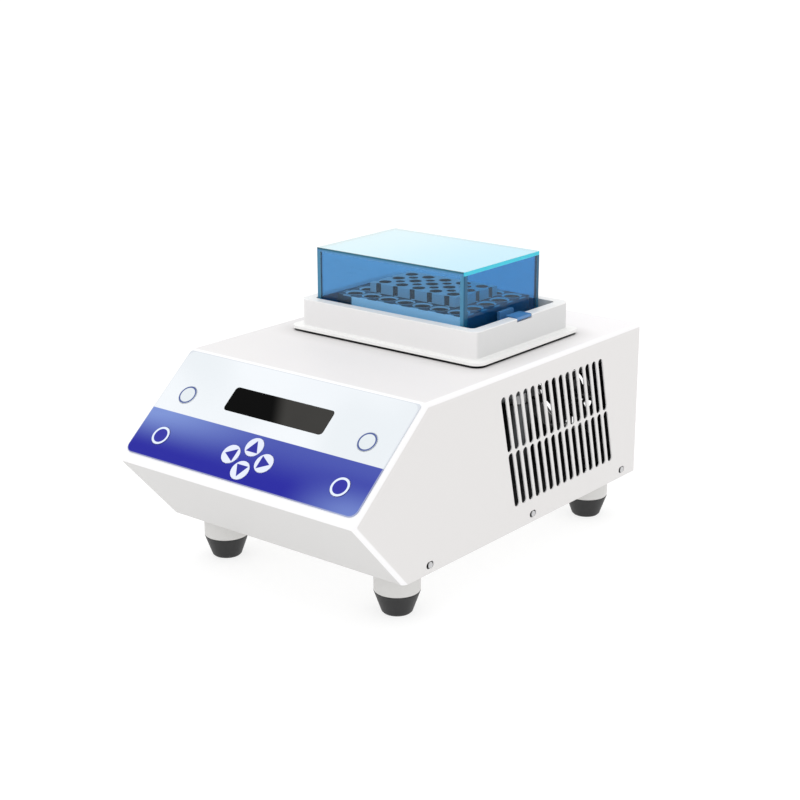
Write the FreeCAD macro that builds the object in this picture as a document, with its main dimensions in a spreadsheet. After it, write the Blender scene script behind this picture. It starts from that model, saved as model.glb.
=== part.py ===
import FreeCAD, Part
import math
import os
import re

import Sketcher

# Bench dry bath with an orbiting heated platform. Millimetres, +Z up.
# The origin is on the surface that the feet stand on, under the middle of the whole object.
# The control panel faces -Y.

SIZES = {
    # Sheet metal housing
    "body_width": 193.8,
    "body_depth": 301.6,
    "body_height": 106.3,
    "ground_gap": 30.8,
    "sheet_wall": 1.0,
    "bend_radius": 3.4,
    "nose_height": 49.6,
    "front_undercut": 45.5,
    "break_setback": 66.9,
    "sheet_gap": 0.25,
    "cut_over": 1.0,
    "base_lip": 14.0,
    "base_front_gap": 4.0,
    # Slanted air slots in both side walls
    "slot_count": 15,
    "slot_pitch": 7.86,
    "slot_width": 5.0,
    "slot_rise": 37.6,
    "slot_lean": 0.235,
    "slot_row_gap": 1.0,
    "slot_bottom": 15.8,
    "slot_front": 9.1,
    # Screws along the lower edge of both sides
    "side_screw_pitch": 107.5,
    "side_screw_middle": 26.8,
    "side_screw_height": 5.4,
    "side_slot_length": 7.0,
    "side_slot_width": 4.4,
    "side_screw_radius": 1.5,
    "side_head_height": 1.6,
    "side_screw_length": 5.0,
    # Feet
    "foot_side_inset": 24.6,
    "foot_front_inset": 23.8,
    "foot_rear_inset": 21.6,
    "rubber_height": 14.2,
    "rubber_foot_radius": 9.7,
    "rubber_top_radius": 14.4,
    "rubber_round": 1.0,
    "spacer_radius": 14.4,
    "foot_recess_radius": 5.2,
    "foot_recess_depth": 7.0,
    "foot_screw_radius": 2.0,
    "foot_head_radius": 4.2,
    "foot_head_height": 2.8,
    "foot_nut_across": 7.0,
    "foot_nut_height": 3.2,
    "foot_screw_end": 1.0,
    "screw_clearance": 0.25,
    # Screws that hold the idler posts and the motor bridge on the base
    "base_screw_radius": 2.0,
    "base_screw_reach": 8.0,
    "base_head_radius": 3.6,
    "base_head_height": 2.2,
    # Control panel on the slope; heights run up the slope from the sharp nose line
    "panel_half_width": 94.2,
    "panel_low": 6.3,
    "panel_high": 86.0,
    "panel_thick": 0.7,
    "panel_low_corner": 5.6,
    "panel_high_corner": 2.0,
    "ring_key_x": 73.6,
    "ring_key_low": 22.4,
    "ring_key_high": 54.2,
    "arrow_key_middle": 23.4,
    "arrow_key_up": 8.45,
    "arrow_key_side": 13.6,
    "key_radius": 6.5,
    "key_side_gap": 0.25,
    "key_thick": 0.45,
    "key_proud": 0.3,
    "key_stem_radius": 1.8,
    "key_stem_hole": 3.0,
    "window_half_width": 40.3,
    "window_low": 50.9,
    "window_high": 68.2,
    "window_corner": 2.5,
    "window_thick": 2.0,
    "window_gap": 0.2,
    # Boards behind the slope
    "key_board_drop": 7.0,
    "board_thick": 1.6,
    "key_board_half_width": 84.0,
    "key_board_low": 9.0,
    "key_board_high": 78.0,
    "switch_side": 6.0,
    "switch_height": 3.6,
    "switch_stem_gap": 0.7,
    "display_half_width": 38.0,
    "display_margin": 1.5,
    "board_post_radius": 2.5,
    "board_post_inset": 5.0,
    # Orbiting platform
    "platform_y": 47.5,
    "orbit_radius": 1.5,
    "flange_gap": 1.6,
    "flange_side_lip": 6.15,
    "flange_end_lip": 4.6,
    "flange_thick": 1.8,
    "flange_corner": 7.2,
    "collar_side_room": 14.8,
    "collar_end_room": 8.7,
    "collar_height": 18.2,
    "collar_corner": 6.1,
    "collar_wall": 7.0,
    "collar_inner_corner": 3.0,
    "notch_depth": 2.3,
    "notch_gap": 0.6,
    "deck_thick": 1.5,
    "frame_floor": 1.8,
    "skirt_gap": 2.0,
    "skirt_wall": 2.5,
    "platform_room": 2.5,
    "platform_plate_thick": 5.0,
    "platform_plate_margin": 3.0,
    "plate_screw_head_height": 3.0,
    "block_screw_radius": 2.0,
    "block_screw_reach": 5.5,
    "block_head_radius": 3.6,
    "frame_screw_x": 20.0,
    "frame_screw_radius": 1.5,
    "frame_screw_reach": 8.0,
    "frame_head_radius": 2.7,
    "frame_boss_radius": 3.0,
    "frame_boss_offset": 0.5,
    "frame_boss_height": 12.0,
    # Heating block
    "well_pitch": 14.2,
    "well_columns": 7,
    "well_rows": 5,
    "block_margin": 8.5,
    "block_shift": -1.5,
    "block_above_rim": 4.2,
    "block_height": 42.9,
    "island_height": 6.9,
    "flute_radius": 2.2,
    "flute_offset": 0.6,
    "block_corner": 1.0,
    "outer_well_radius": 5.4,
    "outer_well_depth": 34.0,
    "outer_well_chamfer": 0.5,
    "inner_well_radius": 4.0,
    "inner_well_depth": 28.0,
    "inner_well_chamfer": 0.4,
    "small_well_radius": 3.1,
    "small_well_depth": 15.0,
    "small_well_chamfer": 0.2,
    "well_tip": 1.8,
    "heater_plate_thick": 8.0,
    "heater_margin": 1.0,
    "heater_mat_thick": 1.0,
    "insulation_thick": 8.0,
    "probe_radius": 1.5,
    "probe_length": 24.0,
    # Lid
    "lid_left_gap": 0.5,
    "lid_right_gap": 9.0,
    "lid_front_gap": 2.4,
    "lid_rear_gap": 6.5,
    "lid_above_rim": 34.0,
    "lid_wall": 2.5,
    "lid_seat_gap": 0.3,
    "lid_edge": 0.5,
    "tab_width": 15.2,
    "tab_thick": 2.0,
    "tab_rim_gap": 0.5,
    "tab_end_recess": 0.2,
    "tab_above_rim": 0.7,
    "tab_drop": 6.0,
    "tab_root_rise": 1.4,
    # Orbital drive
    "post_x": 44.0,
    "post_y": 34.0,
    "bearing_width": 5.0,
    "bearing_bore": 5.0,
    "bearing_outer": 9.5,
    "post_bearing_bore": 4.0,
    "post_bearing_outer": 8.0,
    "post_radius": 11.0,
    "post_core_radius": 5.0,
    "post_core_depth": 15.0,
    "journal_end": 2.0,
    "running_gap": 0.05,
    "shoulder_gap": 0.3,
    "crank_disc_radius": 10.0,
    "crank_disc_height": 9.1,
    "counterweight_radius": 24.0,
    "counterweight_height": 6.0,
    "eccentric_hub_radius": 9.0,
    "shaft_radius": 3.0,
    "shaft_in_motor": 30.0,
    "shaft_recess": 1.0,
    "motor_radius": 19.0,
    "motor_height": 38.0,
    "motor_boss_radius": 8.0,
    "motor_boss_height": 2.0,
    "bridge_thick": 3.0,
    "bridge_half_width": 24.0,
    "bridge_half_depth": 30.0,
    "bridge_foot": 10.0,
    "motor_screw_radius": 1.5,
    "motor_screw_length": 6.0,
    "motor_head_radius": 2.7,
    "motor_screw_ring": 13.0,
    # Rear panel and what it carries
    "rear_recess": 2.5,
    "fan_side": 60.0,
    "fan_thick": 15.0,
    "fan_x": 44.0,
    "fan_height": 52.0,
    "fan_hole_radius": 28.0,
    "fan_hub_radius": 12.0,
    "fan_pin_radius": 1.5,
    "fan_spoke": 2.5,
    "fan_blade_gap": 1.0,
    "fan_blades": 7,
    "fan_blade_thick": 1.2,
    "fan_blade_slant": 30.0,
    "fan_blade_rise": 0.7,
    "fan_screw_pitch": 50.0,
    "fan_screw_radius": 1.6,
    "fan_head_radius": 2.8,
    "guard_thick": 2.5,
    "guard_rings": 3,
    "guard_pitch": 7.0,
    "guard_bar": 2.0,
    "inlet_x": -52.0,
    "inlet_height": 28.0,
    "inlet_half_width": 14.0,
    "inlet_half_height": 16.5,
    "inlet_flange": 3.0,
    "inlet_flange_thick": 2.5,
    "inlet_depth": 22.0,
    "socket_half_width": 12.0,
    "socket_half_height": 8.0,
    "socket_rise": 6.0,
    "socket_depth": 16.0,
    "pin_pitch": 7.0,
    "pin_step": 2.0,
    "pin_thick": 2.0,
    "pin_width": 4.0,
    "pin_length": 13.0,
    "drawer_drop": 10.5,
    "drawer_half_width": 11.5,
    "drawer_half_height": 4.2,
    "drawer_depth": 16.0,
    "drawer_gap": 0.2,
    "fuse_length": 20.0,
    "fuse_radius": 2.6,
    "switch_x": -52.0,
    "switch_height_up": 68.0,
    "switch_half_width": 9.6,
    "switch_half_height": 13.8,
    "switch_rim": 1.5,
    "switch_rim_thick": 1.6,
    "switch_depth": 18.0,
    "switch_bay_depth": 8.5,
    "rocker_half_width": 6.8,
    "rocker_reach": 11.0,
    "rocker_dip": 1.2,
    "rocker_swell": 1.4,
    "rocker_crest": 10.2,
    "rocker_root": 3.5,
    "rocker_root_reach": 7.9,
    "rocker_pivot_depth": 2.5,
    "rocker_stub": 1.2,
    "rocker_stub_radius": 1.2,
    "rocker_tilt": 10.0,
    "rocker_gap": 0.4,
    # Electronics on the base
    "standoff_height": 7.0,
    "standoff_radius": 3.0,
    "standoff_inset": 6.0,
    "main_board_width": 92.0,
    "main_board_depth": 62.0,
    "main_board_x": 30.0,
    "main_board_y": -48.0,
    "supply_width": 54.0,
    "supply_height": 30.0,
    "supply_side_gap": 14.15,
    "supply_foot_gap": 6.0,
    "supply_post_gap": 2.0,
    "supply_wall": 1.2,
    # Large components, placed from the middle of the control board
    "transformer_x": 26.0,
    "transformer_y": -8.0,
    "transformer_width": 28.0,
    "transformer_depth": 26.0,
    "transformer_height": 24.0,
    "relay_x": -4.0,
    "relay_y": -16.0,
    "relay_width": 16.0,
    "relay_depth": 12.0,
    "relay_height": 15.0,
    "heat_sink_x": 4.0,
    "heat_sink_y": 20.0,
    "heat_sink_width": 32.0,
    "heat_sink_depth": 8.0,
    "heat_sink_height": 25.0,
    "connector_x": -28.0,
    "connector_y": 20.0,
    "connector_width": 20.0,
    "connector_depth": 8.0,
    "connector_height": 9.0,
    "capacitor_x": -30.0,
    "capacitor_y": -14.0,
    "capacitor_radius": 8.0,
    "capacitor_height": 22.0,
}

HALF_WIDTH = "body_width / 2"
HALF_DEPTH = "body_depth / 2"
BODY_TOP = "(ground_gap + body_height)"
FLOOR_TOP = "(ground_gap + sheet_wall)"
NOSE_Z = "(ground_gap + nose_height)"
FOOT_X = f"({HALF_WIDTH} - foot_side_inset)"
FOOT_FRONT_Y = f"(front_undercut + foot_front_inset - {HALF_DEPTH})"
FOOT_REAR_Y = f"({HALF_DEPTH} - foot_rear_inset)"
SLOPE_ANGLE = "atan2(body_height - nose_height; break_setback)"
FLANGE_Z = f"({BODY_TOP} + flange_gap)"
COLLAR_Z = f"({FLANGE_Z} + flange_thick)"
RIM_Z = f"({COLLAR_Z} + collar_height)"
DECK_Z = f"({FLANGE_Z} + frame_floor)"
BLOCK_Y = "(platform_y + block_shift)"
BLOCK_HALF_X = "((well_columns - 1) * well_pitch / 2 + block_margin)"
BLOCK_HALF_Y = "((well_rows - 1) * well_pitch / 2 + block_margin)"
ISLAND_HALF_X = f"({BLOCK_HALF_X} - block_margin - well_pitch / 2)"
ISLAND_HALF_Y = f"({BLOCK_HALF_Y} - block_margin - well_pitch / 2)"
COLLAR_ROOM_X = f"({BLOCK_HALF_X} + collar_side_room)"
COLLAR_ROOM_Y = f"({BLOCK_HALF_Y} + collar_end_room)"
COLLAR_OUT_X = f"({COLLAR_ROOM_X} + collar_wall)"
COLLAR_OUT_Y = f"({COLLAR_ROOM_Y} + collar_wall)"
LID_LEFT = f"(lid_left_gap - {COLLAR_ROOM_X})"
LID_RIGHT = f"({COLLAR_ROOM_X} - lid_right_gap)"
LID_FRONT = f"(platform_y - {COLLAR_ROOM_Y} + lid_front_gap)"
LID_REAR = f"(platform_y + {COLLAR_ROOM_Y} - lid_rear_gap)"
LID_TOP = f"({RIM_Z} + lid_above_rim)"
BLOCK_DECK_Z = f"({RIM_Z} + block_above_rim)"
BLOCK_Z = f"({BLOCK_DECK_Z} - block_height)"
HEATER_Z = f"({BLOCK_Z} - heater_plate_thick)"
MAT_Z = f"({HEATER_Z} - heater_mat_thick)"
PAD_Z = f"({MAT_Z} - insulation_thick)"
PLATE_Z = f"({PAD_Z} - platform_plate_thick)"
SKIRT_HALF_X = f"({BLOCK_HALF_X} + skirt_gap)"
SKIRT_HALF_Y = f"({BLOCK_HALF_Y} + skirt_gap)"
SKIRT_OUT_X = f"({SKIRT_HALF_X} + skirt_wall)"
SKIRT_OUT_Y = f"({SKIRT_HALF_Y} + skirt_wall)"
DISC_TOP_Z = f"({PLATE_Z} - shoulder_gap)"
DISC_Z = f"({DISC_TOP_Z} - crank_disc_height)"
POST_TOP_Z = f"({DISC_Z} - shoulder_gap)"
SHAFT_X = "(-orbit_radius)"
BRIDGE_TOP_Z = f"({POST_TOP_Z} - motor_boss_height - shoulder_gap)"
MOTOR_TOP_Z = f"({BRIDGE_TOP_Z} - bridge_thick)"
REAR_OUT_Y = f"({HALF_DEPTH} - rear_recess)"
REAR_IN_Y = f"({REAR_OUT_Y} - sheet_wall)"
INSIDE_HALF_X = f"({HALF_WIDTH} - sheet_wall - sheet_gap)"
SUPPLY_X = f"(supply_side_gap + supply_width / 2 - {INSIDE_HALF_X})"
SUPPLY_FRONT = f"({FOOT_FRONT_Y} + supply_foot_gap)"
SUPPLY_REAR = "(platform_y - post_y - post_radius - supply_post_gap)"
FAN_Z = "(ground_gap + fan_height)"
BRIDGE_FOOT_Y = "(bridge_half_depth + bridge_foot / 2)"

doc = FreeCAD.newDocument("dry_bath")
sheet = doc.addObject("Spreadsheet::Sheet", "dims")
for row, (alias, value) in enumerate(SIZES.items(), 1):
    sheet.set(f"A{row}", alias)
    sheet.set(f"B{row}", str(value))
    sheet.setAlias(f"B{row}", alias)
doc.recompute()

nodes = {}
X_AXIS = FreeCAD.Vector(1, 0, 0)
Y_AXIS = FreeCAD.Vector(0, 1, 0)
Z_AXIS = FreeCAD.Vector(0, 0, 1)


def link(expression):
    """The expression with each size read from the sheet."""
    def from_sheet(match):
        word = match.group(0)
        return f"dims.{word}" if word in SIZES else word
    return re.sub(r"[A-Za-z_]\w*", from_sheet, expression)


def bind(thing, prop, expression):
    thing.setExpression(prop, link(expression))


def keep(name, thing):
    """Registers a finished sub-part as a node."""
    thing.Label = name
    nodes[name] = thing
    return thing


def move(thing, x="0", y="0", z="0"):
    for axis, expression in zip("xyz", (x, y, z)):
        bind(thing, f"Placement.Base.{axis}", expression)
    return thing


def onto_slope(thing, lift="0"):
    """Puts a piece that is drawn flat, from the nose line up, on the slope; lift is along its normal."""
    thing.Placement = FreeCAD.Placement(FreeCAD.Vector(), FreeCAD.Rotation(X_AXIS, 40))
    bind(thing, "Placement.Rotation.Angle", SLOPE_ANGLE)
    run = "break_setback"
    rise = "(body_height - nose_height)"
    length = f"sqrt({run}^2 + {rise}^2)"
    return move(
        thing,
        "0",
        f"-{HALF_DEPTH} - ({lift}) * {rise} / {length}",
        f"{NOSE_Z} + ({lift}) * {run} / {length}",
    )


def box(name, x, y, z):
    """A box between two expressions on each axis."""
    solid = doc.addObject("Part::Box", name)
    for prop, axis, (low, high) in zip(("Length", "Width", "Height"), "xyz", (x, y, z)):
        bind(solid, prop, f"({high}) - ({low})")
        bind(solid, f"Placement.Base.{axis}", low)
    return solid


def cylinder(name, x, y, z, radius, length, along=Z_AXIS):
    """A cylinder that starts at a point and runs along an axis."""
    solid = doc.addObject("Part::Cylinder", name)
    solid.Placement = FreeCAD.Placement(FreeCAD.Vector(), FreeCAD.Rotation(Z_AXIS, along))
    bind(solid, "Radius", radius)
    bind(solid, "Height", length)
    return move(solid, x, y, z)


def group(name, pieces, kind="Part::MultiFuse"):
    whole = doc.addObject(kind, name)
    if kind == "Part::Compound":
        whole.Links = pieces
    else:
        whole.Shapes = pieces
    return whole


def cut(name, base, tools):
    result = doc.addObject("Part::Cut", name)
    result.Base = base
    result.Tool = tools[0] if len(tools) == 1 else group(f"{name}_tools", tools)
    return result


def new_body(name):
    return doc.addObject("PartDesign::Body", name)


def origin_item(body, role):
    return next(item for item in body.Origin.OriginFeatures if item.Role == role)


def new_sketch(body, role, name, x=None, y=None, z=None):
    sketch = body.newObject("Sketcher::SketchObject", name)
    sketch.AttachmentSupport = [(origin_item(body, role), "")]
    sketch.MapMode = "FlatFace"
    for axis, expression in zip("xyz", (x, y, z)):
        if expression is not None:
            bind(sketch, f"AttachmentOffset.Base.{axis}", expression)
    return sketch


def tie(sketch, geometry, point, x, y):
    """Ties one point of a sketch to the sketch's origin."""
    for kind, axis, expression in (("DistanceX", -2, x), ("DistanceY", -1, y)):
        if expression == "0":
            sketch.addConstraint(Sketcher.Constraint("PointOnObject", geometry, point, axis))
        else:
            index = sketch.addConstraint(
                Sketcher.Constraint(kind, -1, 1, geometry, point, 1.0)
            )
            bind(sketch, f"Constraints[{index}]", expression)


def polygon(sketch, corners):
    """A closed outline with every corner tied by expressions."""
    first = sketch.GeometryCount
    count = len(corners)
    turn = FreeCAD.Rotation(Z_AXIS, 360.0 / count)
    start = FreeCAD.Vector(10, 0, 0)
    for _ in corners:
        end = turn.multVec(start)
        sketch.addGeometry(Part.LineSegment(start, end), False)
        start = end
    for index in range(count):
        following = first + (index + 1) % count
        sketch.addConstraint(Sketcher.Constraint("Coincident", first + index, 2, following, 1))
    for index, (x, y) in enumerate(corners):
        tie(sketch, first + index, 1, x, y)


def rectangle(sketch, x, y):
    polygon(sketch, [(x[0], y[0]), (x[1], y[0]), (x[1], y[1]), (x[0], y[1])])


def circle(sketch, x, y, radius):
    index = sketch.addGeometry(
        Part.Circle(FreeCAD.Vector(1, 1, 0), Z_AXIS, 2), False
    )
    tie(sketch, index, 3, x, y)
    limit = sketch.addConstraint(Sketcher.Constraint("Radius", index, 2))
    bind(sketch, f"Constraints[{limit}]", radius)


def obround(sketch, start, end, radius):
    """A slot with round ends about two tied centres."""
    ends = []
    for x, y in (start, end):
        point = sketch.addGeometry(Part.Point(FreeCAD.Vector(1, 1, 0)), True)
        tie(sketch, point, 1, x, y)
        ends.append(point)
    sketch.recompute()
    low, high = (FreeCAD.Vector(sketch.Geometry[point].X, sketch.Geometry[point].Y, 0) for point in ends)
    guess = 2.0
    run = (high - low).normalize()
    side = FreeCAD.Vector(run.y, -run.x, 0) * guess
    angle = math.atan2(run.y, run.x)
    quarter = math.pi / 2
    bottom = sketch.addGeometry(
        Part.ArcOfCircle(Part.Circle(low, Z_AXIS, guess), angle + quarter, angle + 3 * quarter), False)
    top = sketch.addGeometry(
        Part.ArcOfCircle(Part.Circle(high, Z_AXIS, guess), angle - quarter, angle + quarter), False)
    right = sketch.addGeometry(Part.LineSegment(low + side, high + side), False)
    left = sketch.addGeometry(Part.LineSegment(high - side, low - side), False)
    for one, two in (((bottom, 2), (right, 1)), ((right, 2), (top, 1)),
                     ((top, 2), (left, 1)), ((left, 2), (bottom, 1))):
        sketch.addConstraint(Sketcher.Constraint("Tangent", *one, *two))
    for arc, point in ((bottom, ends[0]), (top, ends[1])):
        sketch.addConstraint(Sketcher.Constraint("Coincident", arc, 3, point, 1))
    sketch.addConstraint(Sketcher.Constraint("Equal", bottom, top))
    limit = sketch.addConstraint(Sketcher.Constraint("Radius", bottom, guess))
    bind(sketch, f"Constraints[{limit}]", radius)


def pad(body, sketch, length, name, midplane=False):
    feature = body.newObject("PartDesign::Pad", name)
    feature.Profile = sketch
    feature.Midplane = midplane
    bind(feature, "Length", length)
    sketch.Visibility = False
    return feature


def pocket(body, sketch, depth, name, midplane=False):
    """Cuts below the sketch's plane, or both ways from it."""
    feature = body.newObject("PartDesign::Pocket", name)
    feature.Profile = sketch
    feature.Midplane = midplane
    bind(feature, "Length", depth)
    return feature


def revolve(body, sketch, name, kind="PartDesign::Revolution"):
    feature = body.newObject(kind, name)
    feature.Profile = sketch
    feature.ReferenceAxis = (sketch, ["V_Axis"])
    feature.Angle = 360
    return feature


def line_pattern(body, feature, axis, length, count, name):
    pattern = body.newObject("PartDesign::LinearPattern", name)
    pattern.Originals = [feature]
    pattern.Direction = (origin_item(body, axis), [""])
    bind(pattern, "Length", length)
    bind(pattern, "Occurrences", count)
    body.Tip = pattern
    return pattern


def grid_pattern(body, feature, across, along, name):
    """Repeats a feature along X and then along Y; each entry is a length and a count."""
    grid = body.newObject("PartDesign::MultiTransform", name)
    grid.Originals = [feature]
    steps = []
    for axis, (length, count) in (("X_Axis", across), ("Y_Axis", along)):
        step = body.newObject("PartDesign::LinearPattern", f"{name}_{axis}")
        step.Direction = (origin_item(body, axis), [""])
        bind(step, "Length", length)
        bind(step, "Occurrences", count)
        steps.append(step)
    grid.Transformations = steps
    body.Tip = grid
    return grid


def edges_along(feature, direction, test=None):
    """Names of the straight edges that run along a direction."""
    names = []
    for index, edge in enumerate(feature.Shape.Edges, 1):
        run = edge.Vertexes[-1].Point - edge.Vertexes[0].Point
        if run.Length > 1e-6 and abs(run.normalize().dot(direction)) > 0.999:
            if test is None or test(edge.BoundBox.Center):
                names.append(f"Edge{index}")
    return names


def fillet(body, feature, names, radius, name):
    result = body.newObject("PartDesign::Fillet", name)
    result.Base = (feature, names)
    bind(result, "Radius", radius)
    return result


def plate(name, x, y, z, corner=None):
    """A body with a rectangular outline, upright corners and a flat top and bottom."""
    body = new_body(name)
    outline = new_sketch(body, "XY_Plane", f"{name}_outline")
    rectangle(outline, x, y)
    feature = pad(body, outline, f"({z[1]}) - ({z[0]})", f"{name}_pad")
    bind(body, "Placement.Base.z", z[0])
    if corner is not None:
        doc.recompute()
        fillet(body, feature, edges_along(feature, Z_AXIS), corner, f"{name}_corners")
    return body


def mirrored(expression):
    return f"-({expression})", expression


def about(centre, half):
    return f"({centre}) - ({half})", f"({centre}) + ({half})"


def key_places():
    """Each key's name and its place on the slope."""
    low, high = "ring_key_low", "ring_key_high"
    middle = "arrow_key_middle"
    return {
        "key_lower_left": ("-ring_key_x", low),
        "key_lower_right": ("ring_key_x", low),
        "key_upper_left": ("-ring_key_x", high),
        "key_upper_right": ("ring_key_x", high),
        "key_up": ("0", f"{middle} + arrow_key_up"),
        "key_down": ("0", f"{middle} - arrow_key_up"),
        "key_left": ("-arrow_key_side", middle),
        "key_right": ("arrow_key_side", middle),
    }


def foot_places():
    return {
        "front_left": (f"-{FOOT_X}", FOOT_FRONT_Y),
        "front_right": (FOOT_X, FOOT_FRONT_Y),
        "rear_left": (f"-{FOOT_X}", FOOT_REAR_Y),
        "rear_right": (FOOT_X, FOOT_REAR_Y),
    }


def side_screw_rows():
    return [f"side_screw_middle + {step} * side_screw_pitch" for step in (-1, 0, 1)]


def crank_places():
    """Idler cranks at the platform's corners; their pins stand one orbit radius to the right."""
    return {
        "front_left": ("-post_x", "platform_y - post_y"),
        "front_right": ("post_x", "platform_y - post_y"),
        "rear_left": ("-post_x", "platform_y + post_y"),
        "rear_right": ("post_x", "platform_y + post_y"),
    }


def bridge_screw_places():
    return [(f"{SHAFT_X} {sx} bridge_half_width / 2", f"platform_y {sy} {BRIDGE_FOOT_Y}")
            for sx in "-+" for sy in "-+"]


def base_screw_places():
    """Under each idler post and in each corner of the motor bridge."""
    return [(f"{x} - orbit_radius", y) for x, y in crank_places().values()] + bridge_screw_places()


def block_screw_places():
    """Between the large wells near the block's corners."""
    across = "(well_columns - 2) * well_pitch / 2"
    along = "(well_rows - 2) * well_pitch / 2"
    return [(f"{sx}{across}", f"{BLOCK_Y} {sy} {along}") for sx in ("-", "") for sy in "-+"]


def frame_screw_places():
    """In bosses on the front and rear of the skirt."""
    along = f"({SKIRT_OUT_Y} + frame_boss_offset)"
    return [(f"{sx}frame_screw_x", f"{BLOCK_Y} {sy} {along}") for sx in ("-", "") for sy in "-+"]


def fan_screw_places():
    half = "fan_screw_pitch / 2"
    return [(f"fan_x {sx} {half}", f"{FAN_Z} {sz} {half}") for sx in "-+" for sz in "-+"]


def bolt(name, x, y, head_z, end_z, radius, head_radius, head_height):
    """An upright screw with its head at the bottom."""
    shank = cylinder(f"{name}_shank", x, y, head_z, radius, f"{end_z} - ({head_z})")
    head = cylinder(f"{name}_head", x, y, head_z, head_radius, head_height)
    return group(name, [shank, head])


def outer_normal(face):
    """Normal in the middle of a face."""
    u_low, u_high, v_low, v_high = face.ParameterRange
    return face.normalAt((u_low + u_high) / 2, (v_low + v_high) / 2)


def opens(face):
    """True for a flat face that looks straight down or straight back."""
    normal = outer_normal(face)
    return isinstance(face.Surface, Part.Plane) and (normal.z < -0.99 or normal.y > 0.99)


def make_side_cutters():
    """Two rows of leaning air slots and the screw slots, right through both side walls."""
    body = new_body("side_cutters")
    slots = new_sketch(body, "YZ_Plane", "side_slot_outline")
    for row in ("0", "1"):
        low = f"ground_gap + slot_bottom + {row} * (slot_rise + slot_row_gap) + slot_width / 2"
        high = f"{low} + slot_rise - slot_width"
        lean = "slot_lean * ({} - ground_gap - slot_bottom)"
        obround(
            slots,
            (f"slot_front - {lean.format(low)}", low),
            (f"slot_front - {lean.format(high)}", high),
            "slot_width / 2",
        )
    slot = pad(body, slots, "body_width * 2", "side_slot", midplane=True)
    line_pattern(body, slot, "Y_Axis", "slot_pitch * (slot_count - 1)", "slot_count", "side_slots")
    screw_slots = new_sketch(body, "YZ_Plane", "side_screw_slot_outline")
    height = "ground_gap + side_screw_height"
    reach = "(side_slot_length - side_slot_width) / 2"
    for place in side_screw_rows():
        obround(screw_slots, (f"{place} - {reach}", height), (f"{place} + {reach}", height),
                "side_slot_width / 2")
    pad(body, screw_slots, "body_width * 2", "side_screw_slots", midplane=True)
    return body


def make_housing_cover():
    """One folded and welded shell: undercut front, slope, top and both sides, open below and behind."""
    body = new_body("cover_block")
    profile = new_sketch(body, "YZ_Plane", "cover_profile")
    front = f"-{HALF_DEPTH}"
    polygon(profile, [
        (f"{front} + front_undercut", "ground_gap"),
        (HALF_DEPTH, "ground_gap"),
        (HALF_DEPTH, BODY_TOP),
        (f"{front} + break_setback", BODY_TOP),
        (front, NOSE_Z),
    ])
    block = pad(body, profile, "body_width", "cover_pad", midplane=True)
    doc.recompute()
    bend_edges = []
    for index, edge in enumerate(block.Shape.Edges, 1):
        if not any(opens(face) for face in block.Shape.ancestorsOfType(edge, Part.Face)):
            bend_edges.append(f"Edge{index}")
    fillet(body, block, bend_edges, "bend_radius", "cover_bends")
    doc.recompute()
    shell = doc.addObject("Part::Thickness", "cover_shell")
    shell.Faces = (body, [f"Face{index}" for index, face in enumerate(body.Shape.Faces, 1) if opens(face)])
    bind(shell, "Value", "-sheet_wall")

    room = "orbit_radius * 2 + platform_room"
    opening = box("platform_opening", mirrored(f"{SKIRT_OUT_X} + {room}"),
                  about(BLOCK_Y, f"{SKIRT_OUT_Y} + {room}"),
                  (f"{BODY_TOP} - sheet_wall - cut_over", f"{BODY_TOP} + cut_over"))
    bores = [
        cylinder(f"{name}_bore", x, y, "-sheet_wall * 2", "key_stem_hole", "sheet_wall * 4")
        for name, (x, y) in key_places().items()
    ]
    bores.append(box(
        "window_bore",
        mirrored("window_half_width + window_gap"),
        ("window_low - window_gap", "window_high + window_gap"),
        ("-sheet_wall * 2", "sheet_wall * 2"),
    ))
    panel_bores = onto_slope(group("panel_bores", bores))
    tools = [make_side_cutters(), opening, panel_bores]
    return keep("housing_cover", cut("housing_cover_cut", shell, tools))


def make_base():
    """Floor with a turned-up lip along each side, screwed to the cover."""
    front = f"-{HALF_DEPTH} + front_undercut + base_front_gap"
    floor = box("base_floor", mirrored(INSIDE_HALF_X), (front, f"{REAR_IN_Y} - sheet_gap"),
                ("ground_gap", FLOOR_TOP))
    lips = []
    for side, x in (("left", (f"-{INSIDE_HALF_X}", f"-{INSIDE_HALF_X} + sheet_wall")),
                    ("right", (f"{INSIDE_HALF_X} - sheet_wall", INSIDE_HALF_X))):
        lips.append(box(f"base_lip_{side}", x, (front, f"{REAR_IN_Y} - sheet_gap"),
                        ("ground_gap", "ground_gap + base_lip")))
    holes = []
    for name, (x, y) in foot_places().items():
        holes.append(cylinder(f"foot_hole_{name}", x, y, "ground_gap - cut_over",
                              "foot_screw_radius + screw_clearance", "sheet_wall + 2 * cut_over"))
    for index, (x, y) in enumerate(base_screw_places()):
        holes.append(cylinder(f"base_screw_hole_{index}", x, y, "ground_gap - cut_over",
                              "base_screw_radius + screw_clearance", "sheet_wall + 2 * cut_over"))
    for index, y in enumerate(side_screw_rows()):
        holes.append(cylinder(f"side_screw_hole_{index}", "-body_width", y,
                              "ground_gap + side_screw_height",
                              "side_screw_radius", "body_width * 2", X_AXIS))
    return keep("base_plate", cut("base_plate_cut", group("base_sheet", [floor] + lips), holes))


def make_side_screws():
    screws = []
    for index, y in enumerate(side_screw_rows()):
        for side, sign, along in (("left", "-", -X_AXIS), ("right", "", X_AXIS)):
            height = "ground_gap + side_screw_height"
            seat = f"{sign}({INSIDE_HALF_X} - side_screw_length)"
            shank = cylinder(f"side_shank_{side}_{index}", seat, y, height,
                             "side_screw_radius", "side_screw_length", along)
            head_start = f"{sign}({INSIDE_HALF_X})"
            head = cylinder(f"side_head_{side}_{index}", head_start, y, height,
                            "side_slot_width / 2 - sheet_gap", "side_head_height", along)
            screws.append(group(f"side_screw_{side}_{index}", [shank, head]))
    return keep("side_screws", group("side_screws", screws, "Part::Compound"))


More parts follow.
